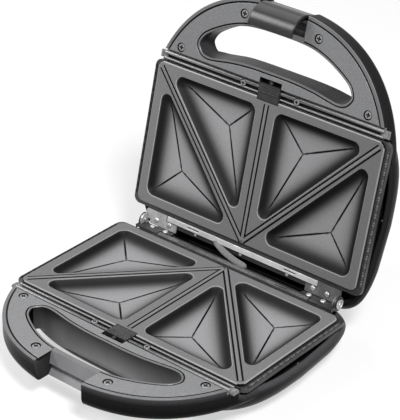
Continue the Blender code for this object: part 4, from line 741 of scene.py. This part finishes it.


# Tone of a plate's points, painted light and shade: a painted highlight at each pocket's edge and at the
# outer edge's round, painted shade on the pressed walls and under the outer edge, painted light again on the
# floors, painted shade in the creases and in the grooves beside the ribs; the lid's plate is painted lighter
# at the left
def plateTone(piece, isLid):
    x, v, w = planOf(piece, isLid)
    depth = w - plate["face"]
    within = (np.abs(x) < plate["halfWidth"] - 3) & (v > plate["rear"] + 3) & (v < plate["front"] - 3)
    tone = np.where(within, np.interp(depth, *plate["pocketTones"]), np.interp(depth, *plate["edgeTones"]))
    for corners in pocketCorners():
        middle = pocketMiddle(corners)
        for corner in corners:
            run = unit(middle - corner)
            dx, dv = np.abs(x) - corner[0], v - corner[1]
            along, aside = dx * run[0] + dv * run[1], np.abs(dx * run[1] - dv * run[0])
            onCrease = (aside < 0.4 * plate["creaseWidth"]) & (along > 0) & (depth > 5.0)
            onCrease &= along < math.dist(middle, corner) + 0.3
            tone = np.where(onCrease, plate["creaseTone"], tone)
    for start, end in ribLines():
        run = unit(np.subtract(end, start))
        aside = np.abs((x - start[0]) * run[1] - (v - start[1]) * run[0])
        inGroove = (aside < plate["grooveHalf"] + 0.1) & (depth > 0.2) & (depth < 2.3)
        tone = np.where(inGroove, plate["grooveTone"], tone)
    return tone * (np.interp(x, *plate["lidAcross"]) if isLid else 1.0)


def buildPlate(prefix, isLid):
    face, low = plate["face"], plate["face"] + plate["edge"]
    steps = [(0.3, low), (0.0, low - 0.3)]
    steps += [(plate["edgeRound"] * c, face + plate["edgeRound"] * s) for c, s in quarter(5)]
    slab = insetSolid(prefix + "CookingPlate", plateOutline, steps)
    bosses, cuts = [], []
    for side, label in bothSides:
        for row, corners in zip(("Rear", "Front"), pocketCorners()):
            name = prefix + row + "Pocket" + label
            bosses.append(pocketSolid(name + "Boss", corners, side, plate["casting"]))
            cuts.append(pocketSolid(name, corners, side))
    g, bottom = plate["grooveHalf"], face + plate["grooveDepth"]
    groove = [(-g, face - 1), (-g, face + 0.25), (-g, bottom), (g, bottom), (g, face + 0.25), (g, face - 1)]
    cuts += [ribSolid("%sGroove%d" % (prefix, k), line, groove) for k, line in enumerate(ribLines())]
    cuts.append(cutBox(prefix + "Notch", rear=plate["front"] - plate["notchDepth"], half=plate["notchHalf"]))
    carve(slab, bosses, "UNION")
    carve(slab, cuts)
    if isLid:
        ontoLid(slab)
    addTone(slab, plateTone(slab, isLid))
    settle(slab, "nonStick", prefix + "_plate", sharp=28.0)
    evenShading(slab)
    h, r = plate["ribHalf"], plate["ribHeight"]
    section = [(-h, bottom + 0.3), (-h, face + 0.1), (-h, face - r * 0.3), (-h * 0.7, face - r),
               (h * 0.7, face - r), (h, face - r * 0.3), (h, face + 0.1), (h, bottom + 0.3)]
    for k, line in enumerate(ribLines()):
        rib = ribSolid("%sPlateRib%d" % (prefix, k), line, section, isLid)
        # The rib's top is painted light and its sides under the face are painted with the grooves' shade
        addTone(rib, np.where(planOf(rib, isLid)[2] > face + 0.05, plate["grooveTone"], plate["ribTone"]))
        settle(rib, "nonStick", body=prefix + "_plate_body", sharp=28.0)


for prefix, isLid in halves:
    buildPlate(prefix, isLid)
print("cooking plates made")


# Handle covers: flat sheets with softened edges, open at the latch and over the catch
def buildCover(prefix, isLid):
    face, low = cover["face"], cover["face"] + cover["thickness"]
    edge, inner = cover["rim"] + cover["seam"], cover["innerRim"] + cover["seam"]
    softened = [(cover["edgeRound"] * c, face + cover["edgeRound"] * s) for c, s in quarter(4)]
    rim = [(edge, low)] + [(edge + inset, depth) for inset, depth in softened]
    sheet = insetSolid(prefix + "HandleCover", handleOutline, rim)
    hole = [(inner, low + 3)] + [(inner + outset, depth) for outset, depth in softened]
    hole.append((inner + 2 * cover["edgeRound"], face - 1))
    cuts = [insetSolid(prefix + "CoverHole", openingOutline, hole),
            cutBox(prefix + "CoverRear", front=cover["rear"]),
            cutBox(prefix + "CoverLatchGap", rear=shell["latchRear"], half=cover["latchHalf"]),
            cutBox(prefix + "CoverCatchGap", rear=shell["catchRear"], front=cover["catchFront"],
                   half=cover["catchHalf"])]
    for k, (x, v) in enumerate(cover["screws"]):
        cuts += [studSolid("%sHeadRoom%d%s" % (prefix, k, label), side * x, v, (cover["headRoom"],) * 2,
                           (face + cover["headDeep"], face - 2)) for side, label in bothSides]
    carve(sheet, cuts)
    if isLid:
        ontoLid(sheet)
    settle(sheet, "greyCover", prefix + "_handle_cover", sharp=30.0)
    refinish(sheet, "blackShell", isLid, lambda x, v, w, nx, nv, nw: (
        (w > face + 0.3) & (nw > -0.99)) | (w > face + 1.2))
    evenShading(sheet)


for prefix, isLid in halves:
    buildCover(prefix, isLid)
print("handle covers made")

# Channel strips: rods are (v, w, radius), and a rod's tones are (places across it, values) of painted light
# and shade
channel = {"rear": 137.4, "front": 147.0, "halfWidth": 108.5, "low": 5.2, "floor": 4.2, "slotHalf": 10.8,
           "thinRod": (139.6, 2.35, 0.8), "wideRod": (144.2, 2.75, 1.45),
           "thinTones": ((-1.0, -0.6, 0.0, 0.6, 1.0), (0.1, 1.5, 1.2, 0.4, 0.05)),
           "wideTones": ((-1.0, -0.9, -0.6, -0.3, 0.0, 0.6, 1.0), (0.03, 0.5, 2.3, 0.35, 0.25, 0.4, 0.05)),
           "floorTones": ((2.2, 2.9, 3.6), (0.6, 0.4, 0.05)), "endTone": 0.9, "tabOut": 4.5, "tabIn": 3.0,
           "tabHalf": 3.0, "tabTop": 3.0, "bumpHalf": 2.4, "bumpTop": 2.2, "bumpLow": 3.2, "bumpStart": 2.2,
           "bumpEnd": 0.7, "screwX": 26.6, "screwV": 142.3, "screwRoom": 3.1}


# Tone across a channel strip, painted light and shade: each rod has one painted highlight along it and
# painted shade elsewhere, the floor is painted darker the deeper it lies, and its ends are plain
def channelTone(piece, isLid):
    x, v, w = planOf(piece, isLid)
    tone = np.interp(w, *channel["floorTones"])
    for rod in ("wide", "thin"):
        middle, level, r = channel[rod + "Rod"]
        onRod = (np.abs(v - middle) < r + 0.02) & (w < level + 0.02)
        tone = np.where(onRod, np.interp((v - middle) / r, *channel[rod + "Tones"]), tone)
    return np.where(np.abs(x) > channel["halfWidth"] - 0.1, channel["endTone"], tone)


def buildChannel(prefix, isLid):
    near, floor = channel["halfWidth"], channel["floor"]
    profile = [(channel["rear"], channel["low"]), (channel["rear"], floor + 0.5)]
    for v, w, r in (channel["thinRod"], channel["wideRod"]):
        profile += [(v - r, floor + 0.4)]
        profile += [(v + r * math.cos(a), w - r * math.sin(a)) for a in np.linspace(math.pi, 0.0, 13)]
        profile += [(v + r, floor + 0.4)]
    profile += [(channel["front"], floor + 0.5), (channel["front"], channel["low"])]
    strip = acrossSolid(prefix + "ChannelStrip", profile, near, isLid)
    cuts = [cutBox(prefix + "ChannelSlot", 130, 152, -4, floor, channel["slotHalf"], isLid)]
    tabs = []
    middle, far = (channel["rear"] + channel["front"]) / 2, near + channel["tabOut"]
    for side, label in bothSides:
        cuts.append(studSolid(prefix + "ScrewRoom" + label, side * channel["screwX"], channel["screwV"],
                              (channel["screwRoom"],) * 2, (floor - 0.2, -3), isLid))
        tabs.append(sideBox(prefix + "Tab" + label, side, near - channel["tabIn"], far,
                            (middle - channel["tabHalf"], channel["tabTop"]),
                            (middle + channel["tabHalf"], channel["low"] - 0.05), isLid))
        tabs.append(sideBox(prefix + "TabBump" + label, side, far - channel["bumpStart"],
                            far - channel["bumpEnd"], (middle - channel["bumpHalf"], channel["bumpTop"]),
                            (middle + channel["bumpHalf"], channel["bumpLow"]), isLid))
    carve(strip, cuts)
    carve(strip, tabs, "UNION")
    addTone(strip, channelTone(strip, isLid))
    settle(strip, "channelSteel", prefix + "_channel", sharp=30.0)
    evenShading(strip)


# Screws: head steps are (share of the head's radius, depth below its top), and tones are (depths below the
# top, values), which paint shade in the cross slot; each kind has the place of its top and its head's radius
screw = {"shank": 1.4, "length": 12.0, "slotLong": 0.66, "slotWide": 0.22, "slotDeep": 0.7,
         "tones": ((0.0, 0.3, 0.7), (1.0, 1.0, 0.03)),
         "headSteps": ((1.0, 1.2), (1.0, 0.45), (0.93, 0.16), (0.72, 0.04), (0.4, 0.0)),
         "cover": {"top": 1.3, "head": 3.1}, "channel": {"top": 1.5, "head": 2.5}}


# A domed cross-head screw on a node's own side, from its shank's end up to its head's top
def buildScrew(node, x, v, kind, isLid):
    top, head = screw[kind]["top"], screw[kind]["head"]
    steps = [(screw["shank"], top + screw["length"]), (screw["shank"], top + 1.25)]
    steps += [(head * share, top + drop) for share, drop in screw["headSteps"]]
    made = studSolid(node + "Dressed", x, v, *zip(*steps), isLid, around=48)
    a, b, low = head * screw["slotLong"], head * screw["slotWide"], top + screw["slotDeep"]
    carve(made, [boxSolid(node + "SlotA", (x - a, v - b, top - 3), (x + a, v + b, low), isLid),
                 boxSolid(node + "SlotB", (x - b, v - a, top - 3), (x + b, v + a, low), isLid)])
    addTone(made, np.interp(planOf(made, isLid)[2] - top, *screw["tones"]))
    settle(made, "cuppedScrew", node, sharp=40.0)


# How far from the middle a CAD node is, so that each screw takes its own place
def acrossOf(node):
    low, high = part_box(node)
    return ((low[0] + high[0]) / 2 - hinge[0]) / mm


for prefix, isLid in halves:
    buildChannel(prefix, isLid)
    for k in (1, 2, 3, 4):
        node = "%s_cover_screw_%d" % (prefix, k)
        across = acrossOf(node)
        near = min(cover["screws"], key=lambda place: abs(place[0] - abs(across)))
        buildScrew(node, math.copysign(near[0], across), near[1], "cover", isLid)
    for k in (1, 2):
        node = "%s_channel_screw_%d" % (prefix, k)
        across = math.copysign(channel["screwX"], acrossOf(node))
        buildScrew(node, across, channel["screwV"], "channel", isLid)
print("channel strips and screws made")

# Latch clip: tab steps are (how far behind the front, share of the tab's depth), and end trims say how much
# the outer face draws in towards both ends
latch = {"halfWidth": 21.3, "sheet": 2.2, "front": 211.3, "tab": 13.0, "tipV": 194.2, "tipW": -14.8,
         "bend": 3.0, "pinV": 204.5, "pinW": 6.0, "barrel": 3.2, "barrelHalf": 8.0, "bore": 1.65,
         "boreHalf": 30.0, "web": 1.4, "shieldRear": 198.0, "shieldTop": 10.8,
         "tabSteps": ((1.1, 1.0), (0.95, 0.75), (0.5, 0.5)),
         "endTrims": ((0.95, 0.0), (0.975, 0.06), (0.993, 0.3), (1.0, 0.75))}


# Outer face in (v, w): straight tab, then a quarter ellipse over the handle's front to the hook's tip
def buildLatch():
    angle = np.linspace(0.0, math.pi / 2, 25)
    reach, rise = latch["front"] - latch["tipV"], latch["bend"] - latch["tipW"]
    curve = np.stack([latch["tipV"] + reach * np.cos(angle), latch["bend"] - rise * np.sin(angle)], -1)
    tab = [(latch["front"] - back, latch["tab"] * share) for back, share in latch["tabSteps"]]
    outer = np.concatenate([tab, curve])
    run = np.gradient(outer, axis=0)
    run /= np.linalg.norm(run, axis=1)[:, None]
    inward = np.stack([run[:, 1], -run[:, 0]], -1)
    rows = []
    for share, trim in [(-share, trim) for share, trim in latch["endTrims"][::-1]] + [*latch["endTrims"]]:
        far = outer + inward * (latch["sheet"] - trim * 0.3)
        v, w = np.concatenate([outer + inward * trim, far[::-1]]).T
        rows.append(inPlace((share * latch["halfWidth"], v, w), True))
    hood = gridSolid("latchHood", np.stack(rows))
    pin, radius, half = (latch["pinV"], latch["pinW"]), latch["barrel"], latch["barrelHalf"]
    barrel = turnedSolid("latchBarrel", [(-half, radius), (half, radius)], True, *pin)
    web = boxSolid("latchWeb", (-half + 0.1, latch["pinV"], latch["pinW"] - latch["web"]),
                   (half - 0.1, latch["front"] - 1.4, latch["pinW"] + latch["web"]), True)
    wide, top = latch["halfWidth"] - 1.0, latch["shieldTop"]
    shield = boxSolid("latchShield", (-wide, latch["shieldRear"], top),
                      (wide, latch["front"] - 1.3, top + latch["web"]), True)
    carve(hood, [barrel, web, shield], "UNION")
    bore = [(-latch["boreHalf"], latch["bore"]), (latch["boreHalf"], latch["bore"])]
    carve(hood, [turnedSolid("latchBore", bore, True, *pin)])
    settle(hood, "latchGloss", "latch_clip", sharp=40.0)
    evenShading(hood)


buildLatch()
print("latch made")

# Hinges, holders and beams: rivets have a radius at each depth, and a pin's ends are (x, radius) steps
bracket = {"end": 67.0, "step": 78.5, "rear": 0.8, "lidRear": -1.5, "neck": 5.0, "front": 10.2, "top": 1.2,
           "sheet": 1.2, "flange": 100.0, "lidFlange": 98.5, "ear": 6.2, "pinBore": 2.55, "roomNear": 98.2,
           "roomFar": 104.0, "roomFront": 6.4, "rivets": (74.4, 88.3), "rivetV": 2.9,
           "rivetRadii": (2.2, 2.2, 2.0, 1.5, 0.7), "rivetDepths": (1.6, 1.0, 0.65, 0.45, 0.38)}
hingePin = {"inner": 97.2, "outer": 101.5, "tip": ((0.0, 1.4), (0.3, 2.4)),
            "head": ((0.0, 2.4), (0.0, 4.0), (0.3, 4.4), (0.9, 4.4), (1.2, 4.0), (1.2, 3.0), (0.7, 2.6),
                     (0.7, 1.2), (1.2, 0.9))}
beamRivet = {"places": (-47.4, 0.0, 47.4), "v": 4.2, "radii": (1.5, 1.5, 1.35, 1.0, 0.5),
             "depths": (3.0, 2.5, 2.25, 2.1, 2.04)}


def buildBracket(node, side, isLid):
    start, rear = bracket["lidFlange" if isLid else "flange"], bracket["lidRear" if isLid else "rear"]
    far, low, fold = start + bracket["sheet"], bracket["top"] + bracket["sheet"], start + 0.6
    outline = np.array([(bracket["end"], rear), (fold, rear), (fold, bracket["front"]),
                        (bracket["step"], bracket["front"]), (bracket["step"], bracket["neck"]),
                        (bracket["end"], bracket["neck"])]) * (side, 1)
    leg = ringSolid(node + "Dressed", [(outline, low), (outline, bracket["top"])], isLid)
    carve(leg, [sideBox(node + "Room", side, bracket["roomNear"], bracket["roomFar"], (-8, -6),
                        (bracket["roomFront"], 9), isLid)])
    near, end = sorted((side * start, side * far))
    ear = turnedSolid(node + "Ear", [(near, bracket["ear"]), (end, bracket["ear"])], isLid)
    stem = sideBox(node + "Stem", side, start + 0.01, far - 0.01, (0.0, 0.9),
                   (bracket["front"] - 0.3, low + 1.2), isLid)
    carve(leg, [ear, stem], "UNION")
    bore = [(near - 4, bracket["pinBore"]), (end + 4, bracket["pinBore"])]
    carve(leg, [turnedSolid(node + "Bore", bore, isLid)])
    # The lid's right bracket wears a darker copy of the dull zinc, painted shade
    settle(leg, ("dullZinc" if side < 0 else "shadedZinc") if isLid else "blackBeam", node)
    for k, x in enumerate(bracket["rivets"]):
        rivet = studSolid("%sRivet%d" % (node, k), side * x, bracket["rivetV"], bracket["rivetRadii"],
                          bracket["rivetDepths"], isLid)
        settle(rivet, "brightZinc", body=bodyOfNode[node], sharp=50.0)


def buildPin(node, side):
    steps = [(hingePin["inner"] + x, r) for x, r in hingePin["tip"]]
    steps += [(hingePin["outer"] + x, r) for x, r in hingePin["head"]]
    made = turnedSolid(node + "Dressed", [(side * x, r) for x, r in steps], False)
    settle(made, "brightZinc", node, sharp=30.0)


for side, label in bothSides:
    buildBracket("base_hinge_" + label.lower(), side, False)
    buildBracket("lid_hinge_" + label.lower(), side, True)
    buildPin("hinge_pin_" + label.lower(), side)
roundedCopy("base_plate_holder", "greyStrip", 0.2)
roundedCopy("lid_plate_holder", "holderBar", 0.2)
for prefix, isLid in halves:
    roundedCopy(prefix + "_rear_beam", "blackBeam", 0.5)
    roundedCopy(prefix + "_pan", "darkPan", 0.15)
    roundedCopy(prefix + "_catch", "catchPlastic", 0.15)
for k, x in enumerate(beamRivet["places"]):
    made = studSolid("lidBeamRivet%d" % k, x, beamRivet["v"], beamRivet["radii"], beamRivet["depths"], True,
                     around=24)
    settle(made, "dullZinc", body="lid", sharp=50.0)
sideRib = {"near": 117.05, "far": 118.9, "from": 73.2, "to": 74.5, "top": 10.3, "bottom": 17.0, "round": 0.3}
# Bead tones paint light and shade: lighter on each swelling, darker in the hollows, and darker on the left
# than on the right
bead = {"x": 115.6, "top": 2.9, "from": 19.0, "to": 132.0, "radius": 0.8, "swell": 0.3, "pitch": 2.3,
        "leftTone": 0.3, "rightTone": 0.75, "hollowTone": 0.35, "bumpTone": 0.9, "uneven": (0.75, 0.5, 0.9)}


# A short rib between the pan and the housing's rim, half way along each side
def buildSideRib(prefix, side, label, isLid):
    made = sideBox(prefix + "SideRib" + label, side, sideRib["near"], sideRib["far"],
                   (sideRib["from"], sideRib["top"]), (sideRib["to"], sideRib["bottom"]), isLid)
    settle(made, "satinRim", body=prefix, sharp=30.0)
    bevel = made.modifiers.new("roundedEdges", "BEVEL")
    bevel.width, bevel.segments = sideRib["round"] * mm, 2


# A half-sunk bead along a pan's side edge; its radius swells as r + a (|sin(pi s / pitch)| - 1/2), and its
# tone, painted light and shade, rises with each swelling as a painted highlight and falls in the hollows as
# painted shade, unevenly along the side; the left bead is painted darker than the right
def buildBead(prefix, side, label, isLid):
    along = np.arange(bead["from"], bead["to"], bead["pitch"] / 6)[:, None]
    radius = bead["radius"] + bead["swell"] * (np.abs(np.sin(math.pi * along / bead["pitch"])) - 0.5)
    turn = 2 * math.pi * np.arange(10) / 10
    made = gridSolid(prefix + "PanBead" + label, inPlace((
        side * bead["x"] + radius * np.cos(turn), along, bead["top"] + radius * np.sin(turn)), isLid))
    v, (level, swing, wave) = planOf(made, isLid)[1], bead["uneven"]
    bumps = np.abs(np.sin(math.pi * v / bead["pitch"])) * (level + swing * np.sin(wave * v))
    sideTone = bead["leftTone" if side < 0 else "rightTone"]
    addTone(made, sideTone * (bead["hollowTone"] + bead["bumpTone"] * bumps))
    settle(made, "crimpedEdge", body=prefix, sharp=70.0)


for prefix, isLid in halves:
    for side, label in bothSides:
        buildBead(prefix, side, label, isLid)
        buildSideRib(prefix, side, label, isLid)
print("hinges, holders, beams and beads made")

# Sleeve and springs
sleeve = {"lidX": -25.0, "baseX": 9.0, "lidV": 7.4, "baseV": 3.6, "depth": 2.4, "wide": 2.6, "high": 0.8,
          "bulge": 0.6, "drop": 5.0, "aside": 1.0, "rise": 1.0, "sweep": 13.0, "lidOut": 0.9, "baseOut": 1.9,
          "guide": (0.55, -0.68, 0.49)}


# Path in metres: a cubic curve that leaves the lid square to it and sweeps sideways down to the base
def sleevePath(steps=40):
    first = inPlace((sleeve["lidX"], sleeve["lidV"], sleeve["depth"]), True)
    last = inPlace((sleeve["baseX"], sleeve["baseV"], sleeve["depth"]))
    upLid = inPlace((0, 0, -1), True) - inPlace((0, 0, 0), True)
    upBase = np.array([0.0, 0.0, mm])
    start, end = first + upLid * sleeve["lidOut"], last + upBase * sleeve["baseOut"]
    leave = start + upLid * sleeve["bulge"] + np.array([sleeve["aside"], 0.0, -sleeve["drop"]]) * mm
    arrive = end + upBase * sleeve["rise"] + np.array([-sleeve["sweep"], 0.0, 0.0]) * mm
    s = np.linspace(0.0, 1.0, steps)[:, None]
    curve = (1 - s) ** 3 * start + 3 * (1 - s) ** 2 * s * leave + 3 * (1 - s) * s * s * arrive + s ** 3 * end
    return np.concatenate([curve, [last]])


# Flat oval rings set square to the path: side = tangent x guide, rise = side x tangent
def buildSleeve(around=28):
    path = sleevePath()
    run = np.gradient(path, axis=0)
    run /= np.linalg.norm(run, axis=1)[:, None]
    side = np.cross(run, np.broadcast_to(sleeve["guide"], run.shape))
    side /= np.linalg.norm(side, axis=1)[:, None]
    rise = np.cross(side, run)
    turn = (2 * math.pi * np.arange(around) / around)[None, :, None]
    grid = (path[:, None] + side[:, None] * np.cos(turn) * sleeve["wide"] * mm
            + rise[:, None] * np.sin(turn) * sleeve["high"] * mm)
    tube = gridSolid("wireSleeve", grid, weld=1e-8)
    settle(tube, "wovenSleeve", "wire_sleeve", sharp=60.0, bends=True)
    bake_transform(tube)


buildSleeve()
roundedCopy("latch_spring", "darkWire", 0.01, 1, 80.0)
for prefix, isLid in halves:
    made = roundedCopy(prefix + "_catch_spring", "darkWire", 0.01, 1, 80.0)
    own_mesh(made)
print("sleeve and springs made")

# Feet, gland and lenses
for node, finish, width in (("foot_front_left", "softRubber", 0.9), ("foot_front_right", "softRubber", 0.9),
                            ("foot_rear_left", "softRubber", 0.9), ("foot_rear_right", "softRubber", 0.9),
                            ("cord_gland", "softRubber", 0.5), ("power_lens", "redLens", 0.6),
                            ("ready_lens", "greenLens", 0.6)):
    roundedCopy(node, finish, width, 3, 50.0)
print("feet, gland and lenses made")

# Camera, lamps and floor; places are in metres, the camera's counted from the hinge
photoCamera = {"azimuth": 39.02564, "elevation": 29.417, "roll": 1.32048, "lens": 157.305, "clipEnd": 20.0,
               "place": (0.77959, -1.01156, 0.76540)}
lamps = {"key": {"place": (1.1, -0.7, 1.7), "size": 0.5, "power": 62.0},
         "fill": {"place": (-1.3, -0.8, 1.5), "size": 0.8, "power": 30.0},
         "back": {"place": (-0.8, 0.5, 1.45), "size": 0.9, "power": 5.0}}
studio = {"lampAim": (0.0, 0.0, 0.08), "shed": 0.05, "floorRadius": 8.0, "floorBelow": 0.0004,
          "floorGlow": 0.6, "floorGrey": 0.8, "floorRough": 0.9, "floorShed": 0.25}


def setCamera():
    azimuth, elevation, roll = (math.radians(photoCamera[a]) for a in ("azimuth", "elevation", "roll"))
    back = np.array([math.sin(azimuth) * math.cos(elevation), -math.cos(azimuth) * math.cos(elevation),
                     math.sin(elevation)])
    right = np.array([math.cos(azimuth), math.sin(azimuth), 0.0])
    up = np.cross(back, right)
    axes = [right * math.cos(roll) + up * math.sin(roll), up * math.cos(roll) - right * math.sin(roll), back]
    camera = addObject("photoCamera", bpy.data.cameras.new("photoCamera"))
    camera.data.lens, camera.data.clip_end = photoCamera["lens"], photoCamera["clipEnd"]
    turned = Matrix(np.stack(axes, axis=1).tolist()).to_4x4()
    camera.matrix_world = Matrix.Translation(hinge + photoCamera["place"]) @ turned
    bpy.context.scene.camera = camera


def setLamps():
    for name, lamp in lamps.items():
        data = bpy.data.lights.new(name + "Lamp", "AREA")
        data.energy, data.size = lamp["power"], lamp["size"]
        aim = Vector(lamp["place"]) - Vector(studio["lampAim"])
        turned = aim.to_track_quat("Z", "Y").to_matrix().to_4x4()
        addObject(name + "Lamp", data).matrix_world = Matrix.Translation(lamp["place"]) @ turned


def grey(level):
    return (level, level, level, 1.0)


def mixed(tree, share, first, second):
    return shaderNode(tree, "MixShader", {0: share, 1: first, 2: second})[0]


# 1 where the camera, a reflection or a clear material looks, 0 where light is shed on the object
def looksAtIt(tree):
    path = shaderNode(tree, "LightPath", {})
    sight = shaderNode(tree, "Math", {0: path["Is Camera Ray"], 1: path["Is Glossy Ray"]}, operation="ADD")[0]
    rays = {0: sight, 1: path["Is Transmission Ray"]}
    return shaderNode(tree, "Math", rays, operation="ADD", use_clamp=True)[0]


# White to the eye and in reflections, a dim grey for what it sheds on the object
def setWorld():
    world = bpy.data.worlds.new("studio")
    world.use_nodes = True
    tree = world.node_tree
    shed = tree.nodes["Background"]
    feed(tree, shed, {"Color": grey(studio["shed"])})
    white = shaderNode(tree, "Background", {"Color": grey(1.0)})[0]
    feed(tree, tree.nodes["World Output"], {"Surface": mixed(tree, looksAtIt(tree), shed.outputs[0], white)})
    bpy.context.scene.world = world


def setFloor(around=96):
    finish, tree, shader = newFinish("paleFloor")
    feed(tree, shader, {"Base Color": grey(studio["floorGrey"]), "Roughness": studio["floorRough"]})
    glow = shaderNode(tree, "Emission", {"Color": grey(1.0)})[0]
    pale = mixed(tree, studio["floorGlow"], shader.outputs[0], glow)
    shed = shaderNode(tree, "BsdfDiffuse", {"Color": grey(studio["floorShed"])})[0]
    feed(tree, tree.nodes["Material Output"], {"Surface": mixed(tree, looksAtIt(tree), shed, pale)})
    turn = 2 * math.pi * np.arange(around) / around
    ring = np.stack([np.cos(turn), np.sin(turn), 0 * turn], axis=-1) * studio["floorRadius"]
    mesh = bpy.data.meshes.new("floor")
    mesh.from_pydata((ring - (0.0, 0.0, studio["floorBelow"])).tolist(), [], [list(range(around))])
    mesh.materials.append(finish)
    addObject("floor", mesh)


setCamera()
setLamps()
setWorld()
setFloor()
bpy.context.scene.view_settings.view_transform = "Standard"
print("camera, lamps and floor set")
